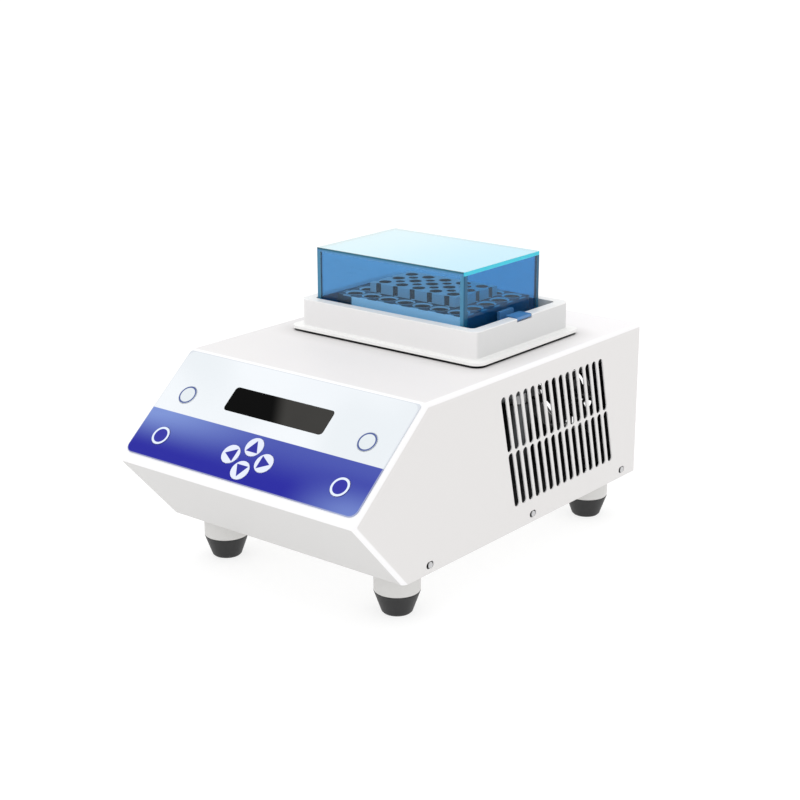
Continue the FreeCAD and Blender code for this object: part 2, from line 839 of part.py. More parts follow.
def turned(name, corners):
    """A body of revolution about its own vertical axis."""
    body = new_body(name)
    profile = new_sketch(body, "XZ_Plane", f"{name}_profile")
    polygon(profile, corners)
    revolve(body, profile, f"{name}_turned")
    return body


def make_feet():
    hole = "foot_screw_radius + screw_clearance"
    head_z = "foot_recess_depth - foot_head_height"
    spacers = []
    screws = []
    nuts = []
    for name, (x, y) in foot_places().items():
        rubber = turned(f"foot_rubber_{name}", [
            ("foot_recess_radius", "0"),
            ("rubber_foot_radius - rubber_round", "0"),
            ("rubber_foot_radius", "rubber_round"),
            ("rubber_top_radius", "rubber_height"),
            (hole, "rubber_height"),
            (hole, "foot_recess_depth"),
            ("foot_recess_radius", "foot_recess_depth"),
        ])
        keep(f"foot_rubber_{name}", move(rubber, x, y))
        spacer = turned(f"foot_spacer_{name}", [
            (hole, "rubber_height"),
            ("spacer_radius - rubber_round / 2", "rubber_height"),
            ("spacer_radius", "rubber_height + rubber_round / 2"),
            ("spacer_radius", "ground_gap"),
            (hole, "ground_gap"),
        ])
        spacers.append(move(spacer, x, y))
        screws.append(bolt(f"foot_screw_{name}", x, y, head_z,
                           f"{FLOOR_TOP} + foot_nut_height + foot_screw_end", "foot_screw_radius",
                           "foot_head_radius", "foot_head_height"))
        blank = doc.addObject("Part::Prism", f"foot_nut_blank_{name}")
        blank.Polygon = 6
        bind(blank, "Circumradius", "foot_nut_across / sqrt(3)")
        bind(blank, "Height", "foot_nut_height")
        move(blank, x, y, FLOOR_TOP)
        bore = cylinder(f"foot_nut_bore_{name}", x, y, f"{FLOOR_TOP} - cut_over", "foot_screw_radius",
                        "foot_nut_height + 2 * cut_over")
        nuts.append(cut(f"foot_nut_{name}", blank, [bore]))
    keep("foot_spacers", group("foot_spacers", spacers, "Part::Compound"))
    keep("foot_screws", group("foot_screws", screws, "Part::Compound"))
    keep("foot_nuts", group("foot_nuts", nuts, "Part::Compound"))


def make_base_screws():
    screws = [
        bolt(f"base_screw_{index}", x, y, "ground_gap - base_head_height",
             f"{FLOOR_TOP} + base_screw_reach", "base_screw_radius", "base_head_radius",
             "base_head_height")
        for index, (x, y) in enumerate(base_screw_places())
    ]
    return keep("base_screws", group("base_screws", screws, "Part::Compound"))


def make_panel():
    """Printed overlay on the slope, with a round hole for each key and one for the window."""
    body = new_body("membrane_overlay")
    outline = new_sketch(body, "XY_Plane", "overlay_outline")
    rectangle(outline, mirrored("panel_half_width"), ("panel_low", "panel_high"))
    film = pad(body, outline, "panel_thick", "overlay_film")
    doc.recompute()
    middle = film.Shape.BoundBox.Center.y
    low = fillet(body, film, edges_along(film, Z_AXIS, lambda point: point.y < middle),
                 "panel_low_corner", "overlay_low_corners")
    doc.recompute()
    fillet(body, low, edges_along(low, Z_AXIS, lambda point: point.y > low.Shape.BoundBox.YMax - 1),
           "panel_high_corner", "overlay_high_corners")
    holes = new_sketch(body, "XY_Plane", "overlay_key_holes", z="panel_thick")
    for x, y in key_places().values():
        circle(holes, x, y, "key_radius + key_side_gap")
    pocket(body, holes, "panel_thick", "overlay_key_cut")
    window = new_sketch(body, "XY_Plane", "overlay_window_outline", z="panel_thick")
    rectangle(window, mirrored("window_half_width + window_gap"),
              ("window_low - window_gap", "window_high + window_gap"))
    opening = pocket(body, window, "panel_thick", "overlay_window_cut")
    doc.recompute()
    edges = edges_along(opening, Z_AXIS, lambda point: abs(point.x) < SIZES["window_half_width"] + 1)
    fillet(body, opening, edges, "window_corner + window_gap", "overlay_window_corners")
    keep("membrane_overlay", onto_slope(body))

    lens = plate("display_window", mirrored("window_half_width"), ("window_low", "window_high"),
                 ("0", "window_thick"), "window_corner")
    bind(lens, "Placement.Base.z", "0")
    keep("display_window", onto_slope(lens, "panel_thick - window_thick"))


def make_keys():
    """Eight keys: a thin cap with a stem that reaches down to its switch."""
    cap_z = "panel_thick + key_proud - key_thick"
    stem_z = "-key_board_drop + switch_height + switch_stem_gap"
    for name, (x, y) in key_places().items():
        cap = cylinder(f"{name}_cap", x, y, cap_z, "key_radius", "key_thick")
        stem = cylinder(f"{name}_stem", x, y, stem_z, "key_stem_radius", f"{cap_z} - ({stem_z})")
        keep(name, onto_slope(group(f"{name}_solid", [cap, stem])))


def make_key_board():
    """Board behind the slope with the key switches soldered on, and the display that it carries."""
    deck = "-key_board_drop"
    pieces = [box("key_board_sheet", mirrored("key_board_half_width"),
                  ("key_board_low", "key_board_high"), (f"{deck} - board_thick", deck))]
    half = "switch_side / 2"
    for name, (x, y) in key_places().items():
        pieces.append(box(f"{name}_switch", about(x, half), about(y, half),
                          (deck, f"{deck} + switch_height")))
    keep("key_board", onto_slope(group("key_board_solid", pieces)))
    display = box(
        "display_block", mirrored("display_half_width"),
        ("window_low + display_margin", "window_high - display_margin"),
        (deck, "panel_thick - window_thick"),
    )
    keep("display_module", onto_slope(group("display_stack", [display], "Part::Compound")))


def make_board_posts():
    """Posts that hold the key board under the slope and the control board over the base."""
    slope_posts = []
    across = "(key_board_half_width - board_post_inset)"
    places = [(f"{sign}{across}", y) for sign in ("-", "")
              for y in ("key_board_low + board_post_inset", "key_board_high - board_post_inset")]
    for index, (x, y) in enumerate(places):
        slope_posts.append(cylinder(f"key_board_post_{index}", x, y, "-key_board_drop",
                                    "board_post_radius", "key_board_drop - sheet_wall"))
    posts = [onto_slope(group("key_board_posts", slope_posts, "Part::Compound"))]
    for index, (sx, sy) in enumerate(("--", "-+", "+-", "++")):
        x = f"main_board_x {sx} (main_board_width / 2 - standoff_inset)"
        y = f"main_board_y {sy} (main_board_depth / 2 - standoff_inset)"
        posts.append(cylinder(f"standoff_{index}", x, y, FLOOR_TOP, "standoff_radius", "standoff_height"))
    keep("board_posts", group("board_posts", posts, "Part::Compound"))


def make_platform_frame():
    """White moulding: thin flange over the housing, collar round the block, skirt down to the plate."""
    flange = plate("frame_flange", mirrored(f"{COLLAR_OUT_X} + flange_side_lip"),
                   about("platform_y", f"{COLLAR_OUT_Y} + flange_end_lip"),
                   (FLANGE_Z, COLLAR_Z), "flange_corner")
    collar = plate("frame_collar", mirrored(COLLAR_OUT_X), about("platform_y", COLLAR_OUT_Y),
                   (COLLAR_Z, RIM_Z), "collar_corner")
    hollow = plate("frame_hollow", mirrored(COLLAR_ROOM_X), about("platform_y", COLLAR_ROOM_Y),
                   (DECK_Z, f"{RIM_Z} + cut_over"), "collar_inner_corner")
    skirt = plate("frame_skirt", mirrored(SKIRT_OUT_X), about(BLOCK_Y, SKIRT_OUT_Y),
                  (f"{PAD_Z}", FLANGE_Z), "skirt_wall")
    shaft = box("frame_shaft", mirrored(SKIRT_HALF_X), about(BLOCK_Y, SKIRT_HALF_Y),
                (f"{PAD_Z} - cut_over", f"{DECK_Z} + cut_over"))
    notch = box("frame_notch", (f"{COLLAR_ROOM_X} - cut_over", f"{COLLAR_OUT_X} + cut_over"),
                about("platform_y", "tab_width / 2 + notch_gap"),
                (f"{RIM_Z} - notch_depth", f"{RIM_Z} + cut_over"))
    bosses = []
    threads = []
    for index, (x, y) in enumerate(frame_screw_places()):
        bosses.append(cylinder(f"frame_boss_{index}", x, y, PAD_Z, "frame_boss_radius",
                               "frame_boss_height"))
        threads.append(cylinder(f"frame_thread_{index}", x, y, f"{PAD_Z} - cut_over",
                                "frame_screw_radius", "frame_screw_reach + cut_over"))
    solid = group("frame_solid", [flange, collar, skirt] + bosses)
    return keep("platform_frame", cut("platform_frame_cut", solid, [hollow, shaft, notch] + threads))


def make_deck():
    """Dark plate between the block and the collar; the lid stands on it."""
    gap = "sheet_gap * 2"
    sheet_metal = plate("deck_sheet", mirrored(f"{COLLAR_ROOM_X} - {gap}"),
                        about("platform_y", f"{COLLAR_ROOM_Y} - {gap}"),
                        (DECK_Z, f"{DECK_Z} + deck_thick"), "collar_inner_corner")
    hole = box("deck_hole", mirrored(f"{BLOCK_HALF_X} + {gap}"), about(BLOCK_Y, f"{BLOCK_HALF_Y} + {gap}"),
               (f"{DECK_Z} - cut_over", f"{DECK_Z} + deck_thick + cut_over"))
    return keep("deck_plate", cut("deck_plate_cut", sheet_metal, [hole]))


def well(body, name, x, y, mouth, radius, depth, chamfer):
    """One tube well: chamfered mouth, straight bore and a drilled point."""
    sketch = new_sketch(body, "XZ_Plane", f"{name}_profile", x=x, z=f"-({y})")
    polygon(sketch, [
        ("0", mouth),
        (f"{radius} + {chamfer}", mouth),
        (radius, f"{mouth} - {chamfer}"),
        (radius, f"{mouth} - {depth}"),
        ("0", f"{mouth} - {depth} - well_tip"),
    ])
    return revolve(body, sketch, name, "PartDesign::Groove")


def make_block():
    """Aluminium block: a fluted island of small wells inside a border of large ones."""
    body = plate("heating_block", mirrored(BLOCK_HALF_X), about(BLOCK_Y, BLOCK_HALF_Y),
                 (BLOCK_Z, BLOCK_DECK_Z), "block_corner")
    raised = new_sketch(body, "XY_Plane", "island_outline", z="block_height")
    rectangle(raised, mirrored(ISLAND_HALF_X), about(BLOCK_Y, ISLAND_HALF_Y))
    pad(body, raised, "island_height", "island")
    first_x = "-(well_columns - 1) * well_pitch / 2"
    first_y = f"({BLOCK_Y} - (well_rows - 1) * well_pitch / 2)"
    outer = ("outer_well_radius", "outer_well_depth", "outer_well_chamfer")
    rows = well(body, "outer_well_row", first_x, first_y, "block_height", *outer)
    grid_pattern(body, rows, ("(well_columns - 1) * well_pitch", "well_columns"),
                 ("(well_rows - 1) * well_pitch", "2"), "outer_well_rows")
    ends = well(body, "outer_well_end", first_x, f"{first_y} + well_pitch", "block_height", *outer)
    grid_pattern(body, ends, ("(well_columns - 1) * well_pitch", "2"),
                 ("(well_rows - 3) * well_pitch", "well_rows - 2"), "outer_well_ends")
    top = "block_height + island_height"
    inner = well(body, "inner_well", f"{first_x} + well_pitch", f"{first_y} + well_pitch", top,
                 "inner_well_radius", "inner_well_depth", "inner_well_chamfer")
    grid_pattern(body, inner, ("(well_columns - 3) * well_pitch", "well_columns - 2"),
                 ("(well_rows - 3) * well_pitch", "well_rows - 2"), "inner_wells")
    small = well(body, "small_well", f"{first_x} + 1.5 * well_pitch", f"{first_y} + 1.5 * well_pitch",
                 top, "small_well_radius", "small_well_depth", "small_well_chamfer")
    grid_pattern(body, small, ("(well_columns - 4) * well_pitch", "well_columns - 3"),
                 ("(well_rows - 4) * well_pitch", "well_rows - 3"), "small_wells")
    flute_x = f"({ISLAND_HALF_X} + flute_offset)"
    flute_y = f"({ISLAND_HALF_Y} + flute_offset)"
    long_side = new_sketch(body, "XY_Plane", "long_flute_outline", z=top)
    circle(long_side, f"{first_x} + well_pitch", f"{BLOCK_Y} - {flute_y}", "flute_radius")
    grid_pattern(body, pocket(body, long_side, "island_height", "long_side_flute"),
                 ("(well_columns - 3) * well_pitch", "well_columns - 2"), (f"2 * {flute_y}", "2"),
                 "long_side_flutes")
    short_side = new_sketch(body, "XY_Plane", "short_flute_outline", z=top)
    circle(short_side, f"-{flute_x}", f"{first_y} + well_pitch", "flute_radius")
    grid_pattern(body, pocket(body, short_side, "island_height", "short_side_flute"),
                 (f"2 * {flute_x}", "2"), ("(well_rows - 3) * well_pitch", "well_rows - 2"),
                 "short_side_flutes")
    threads = new_sketch(body, "XY_Plane", "block_thread_outline", z="block_screw_reach")
    for x, y in block_screw_places():
        circle(threads, x, y, "block_screw_radius")
    pocket(body, threads, "block_screw_reach", "block_threads")
    return keep("heating_block", body)


def make_heater():
    """Heater plate with its probe, flat heating mat and insulation, stacked under the block."""
    half_x = f"{BLOCK_HALF_X} + heater_margin"
    half_y = f"{BLOCK_HALF_Y} + heater_margin"
    probe_x = f"{half_x} - probe_length"
    probe_z = f"{HEATER_Z} + heater_plate_thick / 2"
    layers = {
        "heater_plate": (HEATER_Z, BLOCK_Z),
        "heater_mat": (MAT_Z, HEATER_Z),
        "insulation_pad": (PAD_Z, MAT_Z),
    }
    for name, (low, high) in layers.items():
        slab = box(f"{name}_slab", mirrored(half_x), about(BLOCK_Y, half_y), (low, high))
        bores = [
            cylinder(f"{name}_bore_{index}", x, y, f"{low} - cut_over",
                     "block_screw_radius + screw_clearance", f"{high} - {low} + 2 * cut_over")
            for index, (x, y) in enumerate(block_screw_places())
        ]
        if name == "heater_plate":
            bores.append(cylinder("probe_bore", probe_x, BLOCK_Y, probe_z, "probe_radius + running_gap",
                                  "probe_length + cut_over", X_AXIS))
        keep(name, cut(f"{name}_cut", slab, bores))
    keep("temperature_probe", cylinder("temperature_probe", probe_x, BLOCK_Y, probe_z,
                                       "probe_radius", "probe_length", X_AXIS))


def make_platform_plate():
    """Plate that rides on the five pins, with the bearings that they turn in."""
    half_x = "post_x + bearing_outer + platform_plate_margin"
    half_y = "post_y + bearing_outer + platform_plate_margin"
    sheet_metal = plate("platform_sheet", mirrored(half_x), about("platform_y", half_y),
                        (PLATE_Z, PAD_Z), "bearing_outer")
    places = list(crank_places().values()) + [("0", "platform_y")]
    bores = []
    rings = []
    for index, (x, y) in enumerate(places):
        bores.append(cylinder(f"platform_bore_{index}", x, y, f"{PLATE_Z} - cut_over", "bearing_outer",
                              "platform_plate_thick + 2 * cut_over"))
        ring = cylinder(f"platform_ring_{index}", x, y, PLATE_Z, "bearing_outer", "bearing_width")
        hole = cylinder(f"platform_ring_hole_{index}", x, y, f"{PLATE_Z} - cut_over", "bearing_bore",
                        "bearing_width + 2 * cut_over")
        rings.append(cut(f"platform_bearing_{index}", ring, [hole]))
    for kind, screw_places in (("block", block_screw_places()), ("frame", frame_screw_places())):
        for index, (x, y) in enumerate(screw_places):
            bores.append(cylinder(f"plate_{kind}_hole_{index}", x, y, PLATE_Z,
                                  f"{kind}_screw_radius + screw_clearance",
                                  "platform_plate_thick + cut_over"))
            bores.append(cylinder(f"plate_{kind}_counterbore_{index}", x, y, f"{PLATE_Z} - cut_over",
                                  f"{kind}_head_radius + screw_clearance",
                                  "plate_screw_head_height + cut_over"))
    keep("platform_plate", cut("platform_plate_cut", sheet_metal, bores))
    keep("platform_bearings", group("platform_bearings", rings, "Part::Compound"))


def make_plate_screws():
    """Screws with sunk heads under the platform plate: four for the block, four for the frame."""
    ends = {
        "block": (block_screw_places(), f"{BLOCK_Z} + block_screw_reach"),
        "frame": (frame_screw_places(), f"{PAD_Z} + frame_screw_reach"),
    }
    for kind, (places, end) in ends.items():
        screws = [
            bolt(f"{kind}_screw_{index}", x, y, PLATE_Z, end, f"{kind}_screw_radius",
                 f"{kind}_head_radius", "plate_screw_head_height")
            for index, (x, y) in enumerate(places)
        ]
        keep(f"{kind}_screws", group(f"{kind}_screws", screws, "Part::Compound"))


def make_lid():
    """Clear box without a bottom."""
    low = f"({DECK_Z} + deck_thick + lid_seat_gap)"
    outside = plate("lid_outside", (LID_LEFT, LID_RIGHT), (LID_FRONT, LID_REAR), (low, LID_TOP),
                    "lid_edge")
    inside = box("lid_inside", (f"{LID_LEFT} + lid_wall", f"{LID_RIGHT} - lid_wall"),
                 (f"{LID_FRONT} + lid_wall", f"{LID_REAR} - lid_wall"),
                 (f"{low} - cut_over", f"{LID_TOP} - lid_wall"))
    keep("lid", cut("lid_cut", outside, [inside]))


def make_lid_tab():
    """Bent strip: stands on the lid's side, drops behind the collar and comes out through its notch."""
    root = f"{LID_RIGHT} + tab_thick"
    bend_out = f"{COLLAR_ROOM_X} - tab_rim_gap"
    bend_in = f"{bend_out} - tab_thick"
    end = f"{COLLAR_OUT_X} - tab_end_recess"
    top = f"{RIM_Z} + tab_above_rim"
    low = f"{top} - tab_drop"
    body = new_body("lid_tab")
    outline = new_sketch(body, "XZ_Plane", "tab_outline", z="-platform_y")
    polygon(outline, [
        (LID_RIGHT, low),
        (bend_out, low),
        (bend_out, f"{top} - tab_thick"),
        (end, f"{top} - tab_thick"),
        (end, top),
        (bend_in, top),
        (bend_in, f"{low} + tab_thick"),
        (root, f"{low} + tab_thick"),
        (root, f"{top} + tab_root_rise"),
        (LID_RIGHT, f"{top} + tab_root_rise"),
    ])
    pad(body, outline, "tab_width", "tab_strip", midplane=True)
    keep("lid_tab", body)


def make_idlers():
    """Four posts on the base, each with a bearing and a crank whose pin carries the platform."""
    posts = []
    rings = []
    for index, (name, (x, y)) in enumerate(crank_places().items()):
        axis_x = f"{x} - orbit_radius"
        seat = f"({POST_TOP_Z} - bearing_width)"
        column = cylinder(f"post_column_{index}", axis_x, y, FLOOR_TOP, "post_radius",
                          f"{POST_TOP_Z} - {FLOOR_TOP}")
        socket = cylinder(f"post_socket_{index}", axis_x, y, seat, "post_bearing_outer",
                          "bearing_width + cut_over")
        core = cylinder(f"post_core_{index}", axis_x, y, f"{POST_TOP_Z} - post_core_depth",
                        "post_core_radius", "post_core_depth")
        thread = cylinder(f"post_thread_{index}", axis_x, y, f"{FLOOR_TOP} - cut_over",
                          "base_screw_radius", "base_screw_reach + cut_over")
        posts.append(cut(f"idler_post_{index}", column, [socket, core, thread]))
        ring = cylinder(f"post_ring_{index}", axis_x, y, seat, "post_bearing_outer", "bearing_width")
        hole = cylinder(f"post_ring_hole_{index}", axis_x, y, f"{seat} - cut_over", "post_bearing_bore",
                        "bearing_width + 2 * cut_over")
        rings.append(cut(f"post_bearing_{index}", ring, [hole]))
        journal = cylinder(f"crank_journal_{index}", axis_x, y, f"{seat} - journal_end",
                           "post_bearing_bore - running_gap", f"{DISC_Z} - ({seat} - journal_end)")
        disc = cylinder(f"crank_disc_{index}", axis_x, y, DISC_Z, "crank_disc_radius",
                        "crank_disc_height")
        pin = cylinder(f"crank_pin_{index}", x, y, DISC_TOP_Z, "bearing_bore - running_gap",
                       "shoulder_gap + bearing_width - running_gap")
        keep(f"idler_crank_{name}", group(f"idler_crank_solid_{index}", [journal, disc, pin]))
    keep("idler_posts", group("idler_posts", posts, "Part::Compound"))
    keep("post_bearings", group("post_bearings", rings, "Part::Compound"))


def make_drive():
    """Motor under a bridge; its shaft turns an eccentric with a counterweight."""
    motor_z = f"({MOTOR_TOP_Z} - motor_height)"
    case = cylinder("motor_case", SHAFT_X, "platform_y", motor_z, "motor_radius", "motor_height")
    boss = cylinder("motor_boss", SHAFT_X, "platform_y", MOTOR_TOP_Z, "motor_boss_radius",
                    "bridge_thick + motor_boss_height")
    bore = cylinder("motor_bore", SHAFT_X, "platform_y", f"{MOTOR_TOP_Z} - shaft_in_motor",
                    "shaft_radius + running_gap",
                    "shaft_in_motor + bridge_thick + motor_boss_height + cut_over")
    holes = [bore]
    bridge_holes = [cylinder("bridge_boss_hole", SHAFT_X, "platform_y", f"{MOTOR_TOP_Z} - cut_over",
                             "motor_boss_radius + sheet_gap", "bridge_thick + 2 * cut_over")]
    screws = []
    ring = "motor_screw_ring"
    for index, (x, y) in enumerate(((f"{SHAFT_X} - {ring}", "platform_y"),
                                    (f"{SHAFT_X} + {ring}", "platform_y"),
                                    (SHAFT_X, f"platform_y - {ring}"),
                                    (SHAFT_X, f"platform_y + {ring}"))):
        low = f"({BRIDGE_TOP_Z} - motor_screw_length)"
        shank = cylinder(f"motor_shank_{index}", x, y, low, "motor_screw_radius", "motor_screw_length")
        head = cylinder(f"motor_head_{index}", x, y, BRIDGE_TOP_Z, "motor_head_radius",
                        "motor_boss_height - shoulder_gap")
        screws.append(group(f"motor_screw_{index}", [shank, head]))
        holes.append(cylinder(f"motor_thread_{index}", x, y, low, "motor_screw_radius",
                              f"{MOTOR_TOP_Z} - {low}"))
        bridge_holes.append(cylinder(f"bridge_screw_hole_{index}", x, y, f"{MOTOR_TOP_Z} - cut_over",
                                     "motor_screw_radius + screw_clearance",
                                     "bridge_thick + 2 * cut_over"))
    keep("motor_case", cut("motor_case_cut", group("motor_solid", [case, boss]), holes))
    keep("motor_screws", group("motor_screws", screws, "Part::Compound"))
    top = box("bridge_top", about(SHAFT_X, "bridge_half_width"), about("platform_y", "bridge_half_depth"),
              (MOTOR_TOP_Z, BRIDGE_TOP_Z))
    sheets = [top]
    for side, sign in (("front", "-"), ("rear", "+")):
        edge = f"platform_y {sign} bridge_half_depth"
        inner = f"platform_y {sign} (bridge_half_depth - bridge_thick)"
        outer = f"platform_y {sign} (bridge_half_depth + bridge_foot)"
        legs = (edge, inner) if sign == "-" else (inner, edge)
        feet = (outer, edge) if sign == "-" else (edge, outer)
        sheets.append(box(f"bridge_leg_{side}", about(SHAFT_X, "bridge_half_width"), legs,
                          (FLOOR_TOP, BRIDGE_TOP_Z)))
        sheets.append(box(f"bridge_foot_{side}", about(SHAFT_X, "bridge_half_width"), feet,
                          (FLOOR_TOP, f"{FLOOR_TOP} + bridge_thick")))
    for index, (x, y) in enumerate(bridge_screw_places()):
        bridge_holes.append(cylinder(f"bridge_foot_thread_{index}", x, y, f"{FLOOR_TOP} - cut_over",
                                     "base_screw_radius", "bridge_thick + 2 * cut_over"))
    keep("motor_bridge", cut("motor_bridge_cut", group("bridge_sheet", sheets), bridge_holes))

    hub_z = f"({POST_TOP_Z} + shoulder_gap)"
    keep("motor_shaft", cylinder("motor_shaft", SHAFT_X, "platform_y", f"{MOTOR_TOP_Z} - shaft_in_motor",
                                 "shaft_radius",
                                 f"{DISC_TOP_Z} - shaft_recess - ({MOTOR_TOP_Z} - shaft_in_motor)"))
    hub = cylinder("eccentric_hub", SHAFT_X, "platform_y", hub_z, "eccentric_hub_radius",
                   f"{DISC_TOP_Z} - {hub_z}")
    weight = cylinder("counterweight_disc", SHAFT_X, "platform_y", hub_z, "counterweight_radius",
                      "counterweight_height")
    half = box("counterweight_side", (f"{SHAFT_X} - counterweight_radius - cut_over", SHAFT_X),
               about("platform_y", "counterweight_radius + cut_over"),
               (hub_z, f"{hub_z} + counterweight_height"))
    sector = doc.addObject("Part::Common", "counterweight")
    sector.Base = weight
    sector.Tool = half
    pin = cylinder("eccentric_pin", "0", "platform_y", DISC_TOP_Z, "bearing_bore - running_gap",
                   "shoulder_gap + bearing_width - running_gap")
    hole = cylinder("eccentric_bore", SHAFT_X, "platform_y", f"{hub_z} - cut_over", "shaft_radius",
                    f"{DISC_TOP_Z} - shaft_recess - ({hub_z} - cut_over)")
    keep("drive_eccentric", cut("drive_eccentric_cut", group("eccentric_solid", [hub, sector, pin]),
                                [hole]))


def make_rear_panel():
    """Flat panel inside the cover's rear edge, with holes for the fan, the inlet and the switch."""
    sheet_metal = box("rear_sheet", mirrored(INSIDE_HALF_X), (REAR_IN_Y, REAR_OUT_Y),
                      ("ground_gap", f"{BODY_TOP} - sheet_wall - sheet_gap"))
    corner = "bend_radius"
    tools = []
    through = (f"{REAR_IN_Y} - cut_over", f"{REAR_OUT_Y} + cut_over")
    for side, x in (("left", (f"-{INSIDE_HALF_X} - cut_over", f"-{INSIDE_HALF_X} + {corner}")),
                    ("right", (f"{INSIDE_HALF_X} - {corner}", f"{INSIDE_HALF_X} + cut_over"))):
        tools.append(box(f"rear_corner_{side}", x, through,
                         (f"{BODY_TOP} - sheet_wall - sheet_gap - {corner}", f"{BODY_TOP} + cut_over")))
    depth = "sheet_wall + 2 * cut_over"
    tools.append(cylinder("rear_fan_hole", "fan_x", through[0], FAN_Z, "fan_hole_radius", depth, Y_AXIS))
    for index, (x, z) in enumerate(fan_screw_places()):
        tools.append(cylinder(f"rear_fan_screw_hole_{index}", x, through[0], z,
                              "fan_screw_radius + screw_clearance", depth, Y_AXIS))
    tools.append(box("rear_inlet_hole", about("inlet_x", "inlet_half_width + sheet_gap"), through,
                     about("ground_gap + inlet_height", "inlet_half_height + sheet_gap")))
    tools.append(box("rear_switch_hole", about("switch_x", "switch_half_width + sheet_gap"), through,
                     about("ground_gap + switch_height_up", "switch_half_height + sheet_gap")))
    return keep("rear_panel", cut("rear_panel_cut", sheet_metal, tools))


def make_fan():
    """Square fan frame with four spokes, a pivot pin and the screws that hold it."""
    front_y = f"({REAR_IN_Y} - fan_thick)"
    case = box("fan_case", about("fan_x", "fan_side / 2"), (front_y, REAR_IN_Y),
               about(FAN_Z, "fan_side / 2"))
    holes = [cylinder("fan_bore", "fan_x", f"{front_y} - cut_over", FAN_Z, "fan_hole_radius",
                      "fan_thick + 2 * cut_over", Y_AXIS)]
    screws = []
    for index, (x, z) in enumerate(fan_screw_places()):
        holes.append(cylinder(f"fan_case_hole_{index}", x, f"{front_y} - cut_over", z,
                              "fan_screw_radius", "fan_thick + 2 * cut_over", Y_AXIS))
        shank = cylinder(f"fan_shank_{index}", x, front_y, z, "fan_screw_radius",
                         "fan_thick + sheet_wall + guard_thick / 2", Y_AXIS)
        head = cylinder(f"fan_head_{index}", x, f"{REAR_OUT_Y} + guard_thick / 2", z,
                        "fan_head_radius", "guard_thick / 2", Y_AXIS)
        screws.append(group(f"fan_screw_{index}", [shank, head]))
    ring = cut("fan_frame_ring", case, holes)
    spoke_y = (front_y, f"{front_y} + fan_spoke")
    hub = cylinder("fan_hub_plate", "fan_x", front_y, FAN_Z, "fan_hub_radius", "fan_spoke", Y_AXIS)
    reach = "fan_hole_radius + cut_over"
    flat = box("fan_spoke_flat", about("fan_x", reach), spoke_y, about(FAN_Z, "fan_spoke / 2"))
    upright = box("fan_spoke_upright", about("fan_x", "fan_spoke / 2"), spoke_y, about(FAN_Z, reach))
    pin = cylinder("fan_pin", "fan_x", front_y, FAN_Z, "fan_pin_radius", "fan_thick - fan_spoke", Y_AXIS)
    keep("fan_frame", group("fan_frame_solid", [ring, hub, flat, upright, pin]))
    keep("fan_screws", group("fan_screws", screws, "Part::Compound"))


def make_fan_rotor():
    """Hub with slanted blades, drawn about its own axis and then laid along Y."""
    rotor_y = f"({REAR_IN_Y} - fan_thick + fan_spoke + fan_blade_gap / 2)"
    depth = "(fan_thick - fan_spoke - fan_blade_gap)"
    blades = [cylinder("rotor_hub", "0", "0", "0", "fan_hub_radius", depth)]
    for index in range(SIZES["fan_blades"]):
        blade = doc.addObject("Part::Box", f"rotor_blade_{index}")
        bind(blade, "Length", "fan_hole_radius - fan_blade_gap - fan_hub_radius / 2")
        bind(blade, "Width", "fan_blade_thick")
        bind(blade, "Height", depth)
        blade.Placement = FreeCAD.Placement(FreeCAD.Vector(), FreeCAD.Rotation(X_AXIS, 30))
        bind(blade, "Placement.Rotation.Angle", "fan_blade_slant")
        move(blade, "fan_hub_radius / 2", "fan_blade_thick", "fan_blade_rise")
        turned_blade = group(f"rotor_turn_{index}", [blade], "Part::Compound")
        step = FreeCAD.Rotation(Z_AXIS, 360.0 * index / SIZES["fan_blades"])
        turned_blade.Placement = FreeCAD.Placement(FreeCAD.Vector(), step)
        blades.append(turned_blade)
    bore = cylinder("rotor_bore", "0", "0", "-cut_over", "fan_pin_radius + running_gap",
                    f"{depth} + 2 * cut_over")
    rotor = cut("fan_rotor_cut", group("rotor_solid", blades), [bore])
    rotor.Placement = FreeCAD.Placement(FreeCAD.Vector(), FreeCAD.Rotation(Z_AXIS, Y_AXIS))
    keep("fan_rotor", move(rotor, "fan_x", rotor_y, FAN_Z))


def make_fan_guard():
    """Moulded finger guard: a square frame with flat rings on crossed bars."""
    across = (REAR_OUT_Y, f"{REAR_OUT_Y} + guard_thick")
    frame = box("guard_square", about("fan_x", "fan_side / 2"), across, about(FAN_Z, "fan_side / 2"))
    start = f"{REAR_OUT_Y} - cut_over"
    depth = "guard_thick + 2 * cut_over"
    holes = [cylinder("guard_bore", "fan_x", start, FAN_Z, "fan_hole_radius", depth, Y_AXIS)]
    for index, (x, z) in enumerate(fan_screw_places()):
        holes.append(cylinder(f"guard_hole_{index}", x, start, z,
                              "fan_screw_radius + screw_clearance", depth, Y_AXIS))
        holes.append(cylinder(f"guard_counterbore_{index}", x, f"{REAR_OUT_Y} + guard_thick / 2", z,
                              "fan_head_radius + screw_clearance", "guard_thick", Y_AXIS))
    pieces = [cut("guard_frame", frame, holes)]
    for step in range(1, SIZES["guard_rings"] + 1):
        middle = f"guard_pitch * {step}"
        ring = cylinder(f"guard_ring_{step}", "fan_x", REAR_OUT_Y, FAN_Z, f"{middle} + guard_bar / 2",
                        "guard_thick", Y_AXIS)
        core = cylinder(f"guard_core_{step}", "fan_x", start, FAN_Z, f"{middle} - guard_bar / 2",
                        depth, Y_AXIS)
        pieces.append(cut(f"guard_hoop_{step}", ring, [core]))
    reach = "fan_hole_radius + cut_over"
    pieces.append(box("guard_bar_flat", about("fan_x", reach), across, about(FAN_Z, "guard_bar / 2")))
    pieces.append(box("guard_bar_upright", about("fan_x", "guard_bar / 2"), across, about(FAN_Z, reach)))
    keep("fan_guard", group("fan_guard_solid", pieces))


